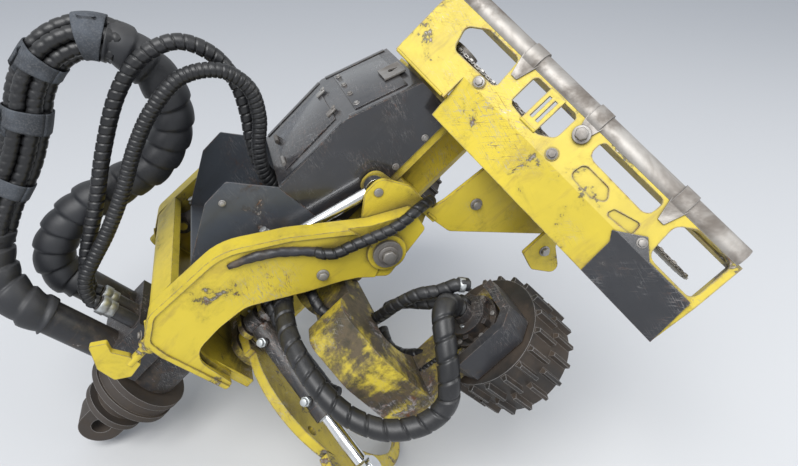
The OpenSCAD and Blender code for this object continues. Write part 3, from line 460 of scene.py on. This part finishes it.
def finish_table(paint):
    """Every finish by the name that the pieces ask for"""
    yellow, black, grey = tuple(paint.yellow), tuple(paint.black), tuple(paint.grey)
    wear = paint.wear
    return {
        "yellow": worn_paint("yellow_paint", yellow, tinted(yellow, .80), wear),
        "oiled": worn_paint("oiled_yellow", yellow, tinted(yellow, .72), wear,
                            chips=.52, dirt_and_shade=1, dust=.10, gloss=.40, oil=.52),
        "scuffed": worn_paint("scuffed_yellow", tinted(yellow, 1.06), tinted(yellow, .84),
                              wear * 1.7, chips=.535, dirt_and_shade=.9),
        "blade": worn_paint("blade_yellow", yellow, tinted(yellow, .70), wear * 2,
                            chips=.50, dirt_and_shade=1),
        "cover": worn_paint("cover_black", black, tinted(black, 1.7), wear * .8, chips=.60,
                            dirt_and_shade=.35, dust=.14, gloss=.22, stain=SMEAR, coat=.5),
        "black": worn_paint("machine_black", black, tinted(black, 1.6), wear * .7, chips=.56,
                            dust=.25, gloss=.34, oil=.30, stain=SMEAR),
        "grey": worn_paint("chute_grey", grey, tinted(grey, .7), wear, chips=.55,
                           dirt_and_shade=.5, dust=.20, gloss=.30, stain=SMEAR),
        "dusty": bare_metal("dusty_steel", (.078, .066, .058), (.040, .034, .030),
                            rough=.55, metal=.45, grime_and_corner_shade=.75, grain=45),
        "worn": bare_metal("worn_steel", (.40, .39, .375), (.22, .20, .18),
                           rough=.40, metal=.85, grime_and_corner_shade=.55),
        "bright": bare_metal("polished_wear", (.40, .38, .355), (.20, .175, .15),
                             rough=.46, metal=.75, grime_and_corner_shade=.9, grain=34),
        "roller": bare_metal("roller_steel", (.040, .038, .036), (.022, .019, .017),
                             metal=.6, grime_and_corner_shade=.8),
        "chrome": chrome_rod(),
        "zinc": zinc_plate(),
        "hose": hose_rubber(),
        "wrap": hose_rubber("wide_wrap", (.016, .017, .020), dust=.22, sheen=.40),
        "strap": webbing_strap(),
    }


FINISHES = {}


def pair(*names):
    """Names of the near and the far one of each piece"""
    return [name + "_" + side for name in names for side, _ in SIDES]


NODE_FINISH = {
    "yellow": ["tilt_frame", "hose_bracket", "chassis", "tilt_ears"],
    "scuffed": ["saw_box"],
    "oiled": ["pivot_lugs", *pair("roller_arm")],
    "blade": ["top_knife", *pair("knife")],
    "cover": ["valve_cover", "saw_end_plate"],
    "black": ["rotator", "hose_manifold", "valve_block", "saw_motor", "measuring_arm",
              *pair("tilt_barrel", "knife_barrel", "roller_motor", "roller_guard")],
    "grey": ["hose_chute"],
    "dusty": ["hanger", "rotator_ring"],
    "worn": ["tilt_pins", "pivot_shafts", "saw_bar", "saw_shaft", "measuring_wheel"],
    "bright": ["saw_wear_bar"],
    "roller": pair("feed_roller"),
    "chrome": pair("tilt_rod", "knife_rod"),
    "hose": ["crane_hoses", "tilt_hoses", *pair("roller_hoses")],
}


# Shapes

def new_object(name, data):
    """An object in the scene"""
    made = bpy.data.objects.new(name, data)
    bpy.context.scene.collection.objects.link(made)
    return made


def mesh_object(name, bm, material):
    """An object in the scene from a bmesh"""
    mesh = bpy.data.meshes.new(name)
    bm.to_mesh(mesh)
    bm.free()
    mesh.materials.append(material)
    return new_object(name, mesh)


def piece(name, bm, finish, body=None, smooth=True, creases=False):
    """A finished object from a bmesh in the head's frame, on the body that carries it"""
    bmesh.ops.transform(bm, matrix=HEAD, verts=bm.verts)
    bmesh.ops.recalc_face_normals(bm, faces=bm.faces)
    for face in bm.faces:
        face.smooth = smooth
    made = mesh_object(name, bm, FINISHES[finish])
    if creases:
        made.data.set_sharp_from_angle(angle=math.radians(30))
    if body:
        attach(made, body)
    return made


def smooth_line(route, step):
    """Points a step apart along a smooth curve through the route"""
    ends = [2 * Vector(route[0]) - Vector(route[1])]
    points = ends + [Vector(p) for p in route] + [2 * Vector(route[-1]) - Vector(route[-2])]
    dense = []
    for a, b, c, d in zip(points, points[1:], points[2:], points[3:]):
        count = max(2, math.ceil((c - b).length / step * 2))
        for i in range(count):
            t = i / count
            dense.append(.5 * (2 * b + (c - a) * t + (2 * a - 5 * b + 4 * c - d) * t * t
                               + (3 * b - 3 * c + d - a) * t ** 3))
    dense.append(points[-2])
    lengths = [0]
    for a, b in zip(dense, dense[1:]):
        lengths.append(lengths[-1] + (b - a).length)
    count = max(2, round(lengths[-1] / step))
    line, k = [], 0
    for i in range(count + 1):
        want = lengths[-1] * i / count
        while k < len(lengths) - 2 and lengths[k + 1] < want:
            k += 1
        share = (want - lengths[k]) / max(lengths[k + 1] - lengths[k], 1e-9)
        line.append(dense[k].lerp(dense[k + 1], min(1, share)))
    return line


def line_frames(line):
    """A side and an up vector at each point, turned as little as the line allows"""
    frames, side = [], None
    for i, at in enumerate(line):
        ahead = (line[min(i + 1, len(line) - 1)] - line[max(i - 1, 0)]).normalized()
        if side is None:
            side = ahead.orthogonal().normalized()
        side = (side - ahead * side.dot(ahead)).normalized()
        frames.append((at, side, ahead.cross(side)))
    return frames


def add_tube(bm, line, sides, radius_at, closed_ends=True):
    """A tube along the line whose radius is a function of distance and angle"""
    frames = line_frames(line)
    step, last = (line[1] - line[0]).length, len(line) - 1
    fresh = bmesh.ops.create_grid(bm, x_segments=last, y_segments=sides, size=.5)["verts"]
    for vert in fresh:
        i = round((vert.co.x + .5) * last)
        turn = vert.co.y + .5
        at, side, up = frames[i]
        angle = math.tau * turn
        vert.co = at + radius_at(i * step, turn) * (math.cos(angle) * side + math.sin(angle) * up)
    bmesh.ops.remove_doubles(bm, verts=fresh, dist=1e-5)
    if closed_ends:
        edges = dict.fromkeys(e for v in fresh if v.is_valid for e in v.link_edges)
        bmesh.ops.holes_fill(bm, edges=list(edges), sides=0)


def guard_radius(radius, pitch, lift=.0034, gap=.09):
    """Radius of a hose inside a flat spiral band, with a gap between the band's turns"""
    def at(distance, turn):
        phase = (distance / pitch - turn) % 1
        edge = min(phase, 1 - phase) / gap
        tilt = .0009 * (phase - .5)
        return radius + lift * min(1, max(0, edge - .45) * 3) + tilt
    return at


def wrap_radius(radius, pitch):
    """Radius of a wide wrap whose every turn laps over the last one"""
    def at(distance, turn):
        phase = (distance / pitch - turn) % 1
        lap, crown = .0085 * phase, .0030 * math.sin(math.pi * phase)
        crease = .0045 * max(0, 1 - phase / .08)
        return radius - lap + crown - crease
    return at


def flattened_radius(radius):
    """Radius of a worn sleeve that starts thin and has uneven flats"""
    def at(distance, turn):
        uneven = math.sin(distance * 90 + turn * 12) + math.sin(distance * 210 - turn * 19)
        return radius * min(1, .5 + distance / .12) + .0006 * uneven
    return at


def ease(bm, edges, width):
    """Rounds edges off a little"""
    bmesh.ops.bevel(bm, geom=edges, offset=width, segments=2, profile=.5, affect="EDGES",
                    material=-1)


def add_round(bm, at, along, radius, depth, sides=24, bevel=.0012):
    """A disc that stands on a face, bevelled round its far rim"""
    turn = Vector(along).to_track_quat("Z", "Y").to_matrix().to_4x4()
    place = Matrix.Translation(at) @ turn @ Matrix.Translation((0, 0, depth / 2))
    made = bmesh.ops.create_cone(bm, cap_ends=True, segments=sides, radius1=radius,
                                 radius2=radius, depth=depth, matrix=place)
    far = place @ Vector((0, 0, depth / 2))
    axis = Vector(along).normalized()
    rim = [e for e in {e for v in made["verts"] for e in v.link_edges}
           if all(abs((v.co - far).dot(axis)) < 1e-5 for v in e.verts)]
    ease(bm, rim, bevel)


# Hoses

def hose_piece(name, route, radius_at, step, sides, finish="hose", body=None):
    """One hose along a route as a piece of its own"""
    bm = bmesh.new()
    add_tube(bm, smooth_line(route, step), sides, radius_at)
    return piece(name, bm, finish, body)


def mirrored(route, sign):
    """A route on the near side for 1, on the far side for -1"""
    return [(x, y * sign, z) for x, y, z in route]


def on_saw_box(x, s, n):
    """A place given along the tree, along the saw box and out of its face"""
    half = math.sqrt(.5)
    return Vector((x, -(s + n) * half, (n - s) * half))


class HEAD_OT_tilt_hoses(bpy.types.Operator):
    """Makes the two guarded hoses that run from the tilt frame into the head"""
    bl_idname = "head.tilt_hoses"
    bl_label = "Tilt Hoses"

    def execute(self, context):
        hoses = context.scene.head_hoses
        bm = bmesh.new()
        core, pitch = hoses.tilt_radius - .002, hoses.guard_pitch
        fine = guard_radius(core, pitch * .68, .0032, .15)
        coarse = guard_radius(core, pitch * 1.15, .004, .12)
        for route, guard in ((TILT_ROUTE_A, fine), (TILT_ROUTE_B, coarse)):
            add_tube(bm, smooth_line(route, .0022), hoses.sides, guard)
        made = piece("tilt_hoses_guarded", bm, "hose")
        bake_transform(made)
        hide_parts("tilt_hoses")
        return {"FINISHED"}


class HEAD_OT_crane_hoses(bpy.types.Operator):
    """Makes the wrapped bundle of the crane's hoses and the straps round it"""
    bl_idname = "head.crane_hoses"
    bl_label = "Crane Hoses"

    def execute(self, context):
        radius = context.scene.head_hoses.wrap_radius
        line = smooth_line(CRANE_ROUTE, .0045)
        # Parts of the length, each a little into the next
        wrapped, bare, parked = (line[int(len(line) * start):int(len(line) * end)]
                                 for start, end in ((0, .50), (.48, .86), (.84, 1)))
        bm = bmesh.new()
        for part in (wrapped, parked):
            add_tube(bm, part, 32, wrap_radius(radius, .056))
        made = piece("crane_hose_wrap", bm, "wrap", "tilt_frame")
        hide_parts("crane_hoses")
        bm = bmesh.new()
        guard, inset = guard_radius(.0165, .024, .0030, .14), .0205
        for angle in range(15, 360, 60):
            turn = math.radians(angle)
            strand = [at + (radius - inset) * (math.cos(turn) * side + math.sin(turn) * up)
                      for at, side, up in line_frames(bare)]
            add_tube(bm, strand, 14, guard)
        piece("crane_hose_strands", bm, "hose", "tilt_frame")
        self.straps(line, radius)
        return {"FINISHED"}

    def straps(self, line, radius):
        """Webbing pulled round the strands, each with a tail that hangs from its knot"""
        def weave(distance, turn):
            return radius + .0012 * math.sin(turn * 40)

        frames = line_frames(line)
        bm, tails = bmesh.new(), bmesh.new()
        for share, width in ((.515, 6), (.59, 5), (.67, 6), (.77, 5)):
            middle = int(len(line) * share)
            add_tube(bm, line[middle - width:middle + width + 1], 36, weave, closed_ends=False)
            at, side, up = frames[middle]
            ahead = side.cross(up)
            out = (side * .3 - up).normalized()
            route = [at + out * (radius + lift) + ahead * run - Vector((0, 0, drop))
                     for lift, run, drop in ((.002, 0, 0), (.012, .006, 0), (.014, .020, .020),
                                             (.006, .028, .070))]
            self.tail(tails, route, ahead * .019)
        bmesh.ops.solidify(bm, geom=bm.faces, thickness=.003)
        piece("crane_hose_straps", bm, "strap", "tilt_frame")
        piece("crane_strap_tails", tails, "strap", "tilt_frame")

    def tail(self, bm, route, half):
        """A flat end of webbing along a route"""
        line = smooth_line(route, .008)
        last = len(line) - 1
        fresh = bmesh.ops.create_grid(bm, x_segments=last, y_segments=3, size=.5)["verts"]
        for vert in fresh:
            vert.co = line[round((vert.co.x + .5) * last)] + 2 * half * vert.co.y
        faces = list({face for vert in fresh for face in vert.link_faces})
        bmesh.ops.solidify(bm, geom=faces, thickness=.003)


class HEAD_OT_roller_hoses(bpy.types.Operator):
    """Makes the guarded bundles and the smaller hoses that feed the roller motors"""
    bl_idname = "head.roller_hoses"
    bl_label = "Roller Hoses"

    def execute(self, context):
        sides = context.scene.head_hoses.sides
        for side, sign in SIDES:
            guard = guard_radius(.0222, .046, .0046, .10)
            made = hose_piece("roller_hose_guard_" + side, mirrored(ROLLER_ROUTE, sign),
                              guard, .0030, sides + 6)
            self.bend(made, side, sign)
            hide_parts("roller_hoses_" + side)
            for name, (radius, pitch, route) in ROLLER_FEEDS.items():
                guard = guard_radius(radius - .003, pitch)
                made = hose_piece("feed_hose_" + name + "_" + side, mirrored(route, sign),
                                  guard, .0026, 16)
                self.bend(made, side, sign)
            nuts = bmesh.new()
            for name, back in (("upper", .026), ("third", .020), ("thin", .016)):
                radius, _, route = ROLLER_FEEDS[name]
                self.nut(nuts, mirrored(route, sign), radius, back)
            piece("feed_hose_nuts_" + side, nuts, "zinc", "roller_arm_" + side)
        return {"FINISHED"}

    def bend(self, made, side, sign):
        """Bakes the hose's placement into its mesh"""
        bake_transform(made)

    def nut(self, bm, route, radius, back):
        """A swivel nut and its collar on the end of a hose"""
        end, before = Vector(route[-1]), Vector(route[-2])
        along = (end - before).normalized()
        at = end - along * back
        add_round(bm, at, along, radius * 1.22, back * .55, 6, bevel=.001)
        add_round(bm, at + along * back * .55, along, radius * .86, back * .5, 20, bevel=.001)


class HEAD_OT_head_hoses(bpy.types.Operator):
    """Makes the hoses that lie on the head and the one on the near tilt arm"""
    bl_idname = "head.head_hoses"
    bl_label = "Head Hoses"

    def execute(self, context):
        sides = context.scene.head_hoses.sides
        # The far knife cylinder sits further along the tree, and its hose with it
        for name, side, sign, shift in (("knife_feed", "near", 1, 0), ("loop", "near", 1, 0),
                                        ("knife_feed", "far", -1, .040)):
            radius, pitch, route = HEAD_HOSES[name]
            route = [(x + shift, y, z) for x, y, z in mirrored(route, sign)]
            guard = guard_radius(radius - .003, pitch)
            hose_piece(name + "_hose_" + side, route, guard, .0028, sides, body="head")
        hose_piece("arm_hose_sleeve", ARM_SLEEVE, flattened_radius(.0125), .005, sides,
                   "black", "tilt_frame")
        guard = guard_radius(.0115, .027, .0040, .11)
        made = hose_piece("arm_hose", ARM_HOSE, guard, .0026, sides)
        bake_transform(made)
        return {"FINISHED"}


# Steel fittings

# Bolts on both sides of the frame, and of the cover and chute: along, out, up and size
FRAME_BOLTS = [(-.158, .295, .085, .0125), (0, .314, 0, .020)]
COVER_BOLTS = [(x, .1753, .097, .0075) for x in (-.05, .06, .17, .28, .35)] + [
    (-.10, .1753, .150, .0070), (-.215, .1753, .180, .0070), (-.345, .1753, .290, .0070),
    (-.200, .1753, .375, .0070)]
# Bolts on the near side's gusset and lug, and on the saw box along, across and out of it
GUSSET_BOLTS = [(.254, -.254, -.122, .013), (.299, -.336, -.348, .012)]
BOX_BOLTS = [(.472, .078, .287, .0105), (.474, .330, .287, .0105), (.552, .345, .292, .0165),
             (.476, .620, .289, .0095)]


def add_bolt(bm, at, along, size, washer=True):
    """A hexagon head, on a washer unless it has none"""
    lift = size * .22 if washer else 0
    if washer:
        add_round(bm, at, along, size * 1.35, lift, 20, bevel=size * .06)
    seat = Vector(at) + Vector(along).normalized() * lift
    add_round(bm, seat, along, size, size * .75, 6, bevel=size * .10)


def add_bolt_pairs(bm, rows):
    """Bolts that look out on both sides"""
    for x, y, z, size in rows:
        for _, sign in SIDES:
            add_bolt(bm, (x, -y * sign, z), (0, -sign, 0), size)


def add_bolt_ring(bm, centre, axis, radius, count, size, start=0, washer=True):
    """Bolts round a centre, in the plane across an axis"""
    turn = Vector(axis).to_track_quat("Z", "Y")
    for i in range(count):
        angle = math.radians(start) + math.tau * i / count
        spoke = Vector((radius * math.cos(angle), radius * math.sin(angle), 0))
        add_bolt(bm, Vector(centre) + turn @ spoke, axis, size, washer)


class HEAD_OT_bolts(bpy.types.Operator):
    """Makes the bolts and caps of the frame, the head, the rollers and the rotator"""
    bl_idname = "head.bolts"
    bl_label = "Bolts"

    def execute(self, context):
        back, up, down = (-1, 0, 0), (0, 0, 1), (0, 0, -1)
        bm = bmesh.new()
        add_bolt_pairs(bm, FRAME_BOLTS)
        add_bolt(bm, (-.5915, -.262, .318), (-.5, -.2, .86), .009)
        add_bolt_ring(bm, (-.628, 0, .105), back, .114, 12, .0085)
        piece("bolts_tilt_frame", bm, "worn", "tilt_frame")
        piece("bolts_head", self.on_head(back), "worn", "head")
        bm = bmesh.new()
        add_bolt_ring(bm, (-.960, 0, .105), back, .112, 10, .0095, 18, washer=False)
        piece("bolts_hanger", bm, "dusty", "hanger")
        for side, sign in SIDES:
            bm = bmesh.new()
            add_bolt_ring(bm, (.050, -.500 * sign, -.199), up, .0635, 6, .0075, 30, washer=False)
            piece("bolts_roller_motor_" + side, bm, "worn", "roller_arm_" + side)
            bm = bmesh.new()
            add_round(bm, (.050, -.500 * sign, -.425), down, .105, .009, 40)
            add_bolt_ring(bm, (.050, -.500 * sign, -.434), down, .085, 8, .009)
            piece("roller_hub_" + side, bm, "roller", "feed_roller_" + side)
        return {"FINISHED"}

    def on_head(self, back):
        """Bolts of the gusset, saw box and cover, and the caps of ears and shafts"""
        bm = bmesh.new()
        for x, y, z, size in GUSSET_BOLTS:
            add_bolt(bm, (x, y, z), (0, -1, 0), size)
        for x, s, n, size in BOX_BOLTS:
            add_bolt(bm, on_saw_box(x, s, n), on_saw_box(0, 0, 1), size)
        add_bolt_pairs(bm, COVER_BOLTS)
        for _, sign in SIDES:
            add_round(bm, (.097, -.239 * sign, .113), (0, -sign, 0), .0125, .0035, 24)
            add_round(bm, (-.548, .165 * sign, 0), back, .034, .008, 32)
            add_bolt_ring(bm, (-.556, .165 * sign, 0), back, .021, 3, .0065, 90, washer=False)
            add_round(bm, (-.300, .165 * sign, -.030), back, .030, .006, 28)
            add_bolt(bm, (-.306, .165 * sign, -.030), back, .009)
        return bm


class HEAD_OT_ports(bpy.types.Operator):
    """Makes the unions, wiper rings and grease nipples of the cylinders and the manifold"""
    bl_idname = "head.ports"
    bl_label = "Ports"

    def execute(self, context):
        for (side, sign), knife_x in zip(SIDES, (-.415, -.377)):
            self.cylinder("tilt_barrel_" + side, (-.475, -.209 * sign, .285),
                          (.097, -.209 * sign, .113), (0, -1, 0), (.070, .288), port=.039,
                          radius=.027, length=.340)
            self.cylinder("knife_barrel_" + side, (knife_x, -.215 * sign, .078),
                          (knife_x, -.600 * sign, -.250), (-sign, 0, 0), (.072, .272), port=.042,
                          radius=.030, length=.330)
        bm = bmesh.new()
        for y in (-.075, -.025):
            add_round(bm, (-.690, y, .372), (0, 0, 1), .0275, .024, 6)
            add_round(bm, (-.690, y, .350), (0, 0, 1), .0245, .022, 6)
        for y in (-.085, -.030, .030, .085):
            add_round(bm, (-.850, y, .215), (-1, 0, 0), .017, .012, 6)
            add_round(bm, (-.862, y, .215), (-1, 0, 0), .012, .010, 20)
        piece("manifold_unions", bm, "zinc", "tilt_frame")
        return {"FINISHED"}

    def cylinder(self, body, base, eye, across, stations, port, radius, length):
        """Unions on both ports, a wiper at the gland and a nipple on the eye of one cylinder"""
        base = Vector(base)
        ahead = (Vector(eye) - base).normalized()
        out = Vector(across).cross(ahead)
        bm = bmesh.new()
        for station in stations:
            at = base + ahead * station + out * port
            add_round(bm, at, out, .0145, .013, 6)
            add_round(bm, at + out * .013, out, .0100, .010, 20)
        add_round(bm, base + ahead * length, ahead, radius * .86, .004, 32, bevel=.0015)
        add_round(bm, base - ahead * (radius + .004), -ahead, .0045, .007, 6, bevel=.0005)
        piece("unions_" + body, bm, "zinc", body)


class HEAD_OT_saw_chain(bpy.types.Operator):
    """Makes the chain that runs round the saw bar"""
    bl_idname = "head.saw_chain"
    bl_label = "Saw Chain"

    def execute(self, context):
        reach, root, tip, middle = .0445, -.030, .708, .190
        straight, links = tip - root, 172
        half_lap = straight + math.pi * reach
        bm = bmesh.new()
        for i in range(links):
            lap, run = divmod(2 * half_lap * i / links, half_lap)
            angle = math.pi * lap + max(0, run - straight) / reach
            centre = (tip if lap else root) + (1 - 2 * lap) * min(run, straight)
            s, n = centre + reach * math.sin(angle), middle + reach * math.cos(angle)
            self.link(bm, s, n, angle, i % 4 == 0, i % 2)
        piece("saw_chain", bm, "worn", "saw_bar", smooth=False)
        return {"FINISHED"}

    def link(self, bm, s, n, angle, cutter, driver):
        """A pair of straps or a driver, with a raised tooth on every fourth"""
        along = on_saw_box(0, math.cos(angle), -math.sin(angle))
        out = on_saw_box(0, math.sin(angle), math.cos(angle))
        bar_x = .500
        place = Matrix((Vector((1, 0, 0)), along, out)).transposed().to_4x4()
        place.translation = on_saw_box(bar_x, s, n)
        strap = Matrix.Diagonal((.0017, .0150, .0065, 1))
        for x in ((0,) if driver else (-.0027, .0027)):
            shape = place @ Matrix.Translation((x, 0, 0)) @ strap
            bmesh.ops.create_cube(bm, size=1, matrix=shape)
        if cutter:
            tooth = Matrix.Rotation(.12, 4, "X") @ Matrix.Diagonal((.0058, .0095, .0052, 1))
            shape = place @ Matrix.Translation((.0020, -.001, .0052)) @ tooth
            bmesh.ops.create_cube(bm, size=1, matrix=shape)


# Weld beads on both sides of the frame and of the head, on the saw box along, across and out
# of it, and on the near side's gusset and lug
FRAME_WELDS = [
    [(-.572, .2435, -.038), (-.572, .2435, .242)],
    [(-.604, .228, .262), (-.592, .243, .300), (-.560, .243, .330)]]
HEAD_WELDS = [
    [(.3745, .1705, .062), (.3745, .1705, .108)],
    [(.158, .2275, -.024), (.158, .2275, .040)], [(.128, .2275, -.024), (.128, .2275, .040)],
    [(-.430, .1705, .061), (-.370, .1705, .061)],
    [(-.476, .0625, -.046), (-.476, .0625, .034)], [(-.524, .0625, -.046), (-.524, .0625, .034)]]
BOX_WELDS = [
    [(.386, -.136, .283), (.386, .032, .283)], [(.482, .214, .2835), (.482, .262, .2835)],
    [(.397, -.120, .135), (.397, .400, .135)]]
GUSSET_WELDS = [
    [(.146, -.254, -.064), (.146, -.254, -.031)], [(.374, -.2545, -.380), (.374, -.2545, -.100)]]


class HEAD_OT_welds(bpy.types.Operator):
    """Makes the weld beads along the joints of the plates"""
    bl_idname = "head.welds"
    bl_label = "Welds"

    def execute(self, context):
        frame_seams, head_seams = ([mirrored(seam, sign) for sign in (-1, 1) for seam in seams]
                                   for seams in (FRAME_WELDS, HEAD_WELDS))
        head_seams += [[on_saw_box(*point) for point in seam] for seam in BOX_WELDS]
        head_seams += GUSSET_WELDS
        for body, seams in (("tilt_frame", frame_seams), ("head", head_seams)):
            bm = bmesh.new()
            for seam in seams:
                add_tube(bm, smooth_line(seam, .0022), 8, self.bead)
            piece("welds_" + body, bm, "yellow", body)
        return {"FINISHED"}

    def bead(self, distance, turn):
        """Radius of a weld bead, rippled along its length"""
        return .0042 + .0007 * math.sin(distance * 1500)


class HEAD_OT_cover_trim(bpy.types.Operator):
    """Makes the cover's edge strips, hatch, hinges, latches and eye plate"""
    bl_idname = "head.cover_trim"
    bl_label = "Cover Trim"

    def execute(self, context):
        level, slope = Vector((1, 0, 0)), Vector((.202, 0, -.079)).normalized()
        out, middle = slope.cross(Vector((0, 1, 0))), Vector((.274, 0, .2535))
        top, edge = .293, .1668
        bm = bmesh.new()
        self.slab(bm, (.055, 0, top), level, .190, .250, .0035)
        self.slab(bm, middle, slope, .150, .290, .0035)
        for y in (-edge, edge):
            self.slab(bm, (.048, y, top), level, .225, .016, .003)
            self.slab(bm, middle + Vector((0, y, 0)), slope, .195, .016, .003)
        piece("cover_strips", bm, "cover", "head", creases=True)
        bm = bmesh.new()
        for y in (-.080, .080):
            add_round(bm, (-.036, y - .022, top + .007), (0, 1, 0), .0065, .044, 16)
            self.slab(bm, (.150, y, top + .0035), level, .030, .022, .006)
            add_round(bm, (.163, y, top + .0095), (0, 0, 1), .0065, .004, 16)
        for y in (-.120, -.040, .040, .120):
            add_bolt(bm, middle + Vector((-.058, y, .0266)), out, .0065)
        piece("cover_latches", bm, "worn", "head", creases=True)
        piece("cover_eye_plate", self.eye_plate(middle, slope, out), "worn", "head", creases=True)
        return {"FINISHED"}

    def slab(self, bm, at, along, length, width, depth):
        """A thin plate with eased edges that lies on a face, its length along a direction"""
        out = along.cross(Vector((0, 1, 0)))
        place = Matrix((along, Vector((0, 1, 0)), out)).transposed().to_4x4()
        place.translation = Vector(at) + out * depth / 2
        shape = place @ Matrix.Diagonal((length, width, depth, 1))
        made = bmesh.ops.create_cube(bm, size=1, matrix=shape)
        ease(bm, list({edge for vert in made["verts"] for edge in vert.link_edges}), depth * .3)

    def eye_plate(self, middle, slope, out):
        """A small plate with a teardrop hole, near the end of the cover's slope"""
        bm = bmesh.new()
        bmesh.ops.create_circle(bm, segments=32, radius=1)
        for vert in bm.verts:
            vert.co /= max(abs(vert.co.x), abs(vert.co.y)) * 32
            vert.co.y *= 1.3
        hole = bmesh.ops.create_circle(bm, segments=32, radius=1)["verts"]
        for vert in hole:
            tip = max(0, vert.co.x)
            vert.co = Vector((vert.co.x * .010 + tip ** 3 * .010,
                              vert.co.y * .011 * (1 - tip * .5), 0))
        bmesh.ops.bridge_loops(bm, edges=bm.edges)
        bmesh.ops.solidify(bm, geom=bm.faces, thickness=.005)
        place = Matrix((slope, out.cross(slope), out)).transposed().to_4x4()
        place.translation = middle + slope * .066 + Vector((0, -.030, 0)) + out * .006
        bmesh.ops.transform(bm, matrix=place, verts=bm.verts)
        return bm


class HEAD_OT_finishes(bpy.types.Operator):
    """Makes the finishes and gives them to the pieces of the frame"""
    bl_idname = "head.finishes"
    bl_label = "Finishes"

    def execute(self, context):
        FINISHES.update(finish_table(context.scene.head_paint))
        for finish, names in NODE_FINISH.items():
            for name in names:
                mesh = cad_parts[name].data
                mesh.materials.clear()
                mesh.materials.append(FINISHES[finish])
        return {"FINISHED"}


# Stage

class HEAD_OT_stage(bpy.types.Operator):
    """Makes the floor, the light and the camera"""
    bl_idname = "head.stage"
    bl_label = "Stage"

    def execute(self, context):
        stage = context.scene.head_stage
        self.floor(stage)
        self.light(stage)
        self.camera(stage)
        return {"FINISHED"}

    def floor(self, stage):
        """A wide plain floor under the lowest piece"""
        bm = bmesh.new()
        bmesh.ops.create_grid(bm, x_segments=1, y_segments=1, size=120,
                              matrix=Matrix.Translation((0, 0, CAD_BOX[0][2])))
        f, tone = Finish("pale_floor"), stage.floor_tone
        f.set("Base Color", (tone, tone, tone * .99))
        f.set("Roughness", .9)
        floor = mesh_object("floor", bm, f.material)

    def light(self, stage):
        """An overcast sky: an even world and one large lamp"""
        world = bpy.data.worlds.new("overcast")
        bpy.context.scene.world = world
        world.use_nodes = True
        nodes, links = world.node_tree.nodes, world.node_tree.links
        nodes.clear()
        rays, seen = nodes.new("ShaderNodeLightPath"), None
        for kind in ("Is Camera Ray", "Is Glossy Ray", "Is Transmission Ray"):
            either = nodes.new("ShaderNodeMath")
            either.operation = "MAXIMUM"
            either.inputs[1].default_value = 0
            links.new(rays.outputs[kind], either.inputs[0])
            if seen:
                links.new(seen, either.inputs[1])
            seen = either.outputs[0]
        sky, out = nodes.new("ShaderNodeMixShader"), nodes.new("ShaderNodeOutputWorld")
        links.new(seen, sky.inputs[0])
        # The first glow lights the head; the second is what the camera and mirrors see
        for i, colour, strength in ((1, (.80, .87, 1, 1), .72), (2, (.80, .83, .86, 1), .95)):
            glow = nodes.new("ShaderNodeBackground")
            glow.inputs["Color"].default_value = colour
            glow.inputs["Strength"].default_value = strength
            links.new(glow.outputs[0], sky.inputs[i])
        links.new(sky.outputs[0], out.inputs[0])
        lamps = [("key", (-2.2, -4.4, 7.6), 5.5, stage.lamp), ("fill", (6.2, -2.8, 4.2), 4, 150)]
        middle = (Vector(CAD_BOX[0]) + Vector(CAD_BOX[1])) / 2
        for name, place, size, power in lamps:
            lamp = bpy.data.lights.new(name, "AREA")
            lamp.energy = power
            lamp.size = size
            made = new_object(name, lamp)
            made.location = place
            made.rotation_euler = (middle - Vector(place)).to_track_quat("-Z", "Y").to_euler()

    def camera(self, stage):
        """The photograph's viewpoint"""
        lens = bpy.data.cameras.new("view")
        lens.lens = stage.lens
        lens.sensor_width = 36
        view = new_object("view", lens)
        right = Vector((.959, -.2825, .015)).normalized()
        up = Vector((.134, .4995, .856))
        back = right.cross(up).normalized()
        up = back.cross(right)
        turn = Matrix((right, up, back)).transposed().to_4x4()
        view.matrix_world = Matrix.Translation((.5225, -1.594, 1.5513)) @ turn
        bpy.context.scene.camera = view
        bpy.context.scene.view_settings.view_transform = "Standard"


OPERATORS = (
    HEAD_OT_finishes, HEAD_OT_stage, HEAD_OT_tilt_hoses, HEAD_OT_crane_hoses,
    HEAD_OT_roller_hoses, HEAD_OT_head_hoses, HEAD_OT_bolts, HEAD_OT_ports,
    HEAD_OT_saw_chain, HEAD_OT_welds, HEAD_OT_cover_trim,
)


class HEAD_PT_dressing(bpy.types.Panel):
    """Lists the steps that dress the head"""
    bl_idname = "HEAD_PT_dressing"
    bl_label = "Harvester Head"
    bl_space_type = "VIEW_3D"
    bl_region_type = "UI"
    bl_category = "Head"

    def draw(self, context):
        column = self.layout.column()
        scene = context.scene
        for group in (scene.head_paint, scene.head_hoses, scene.head_stage):
            for name in type(group).__annotations__:
                column.prop(group, name)
        for step in OPERATORS:
            column.operator(step.bl_idname)


GROUPS = (HeadPaint, HeadHoses, HeadStage)
CLASSES = GROUPS + OPERATORS + (HEAD_PT_dressing,)


def register():
    for kind in CLASSES:
        bpy.utils.register_class(kind)
    bpy.types.Scene.head_paint = PointerProperty(type=HeadPaint)
    bpy.types.Scene.head_hoses = PointerProperty(type=HeadHoses)
    bpy.types.Scene.head_stage = PointerProperty(type=HeadStage)


def unregister():
    for name in ("head_paint", "head_hoses", "head_stage"):
        delattr(bpy.types.Scene, name)
    for kind in reversed(CLASSES):
        bpy.utils.unregister_class(kind)


def main():
    """Registers the classes and runs the steps in order"""
    register()
    for step in OPERATORS:
        group, name = step.bl_idname.split(".")
        getattr(getattr(bpy.ops, group), name)()


if __name__ == "__main__":
    main()
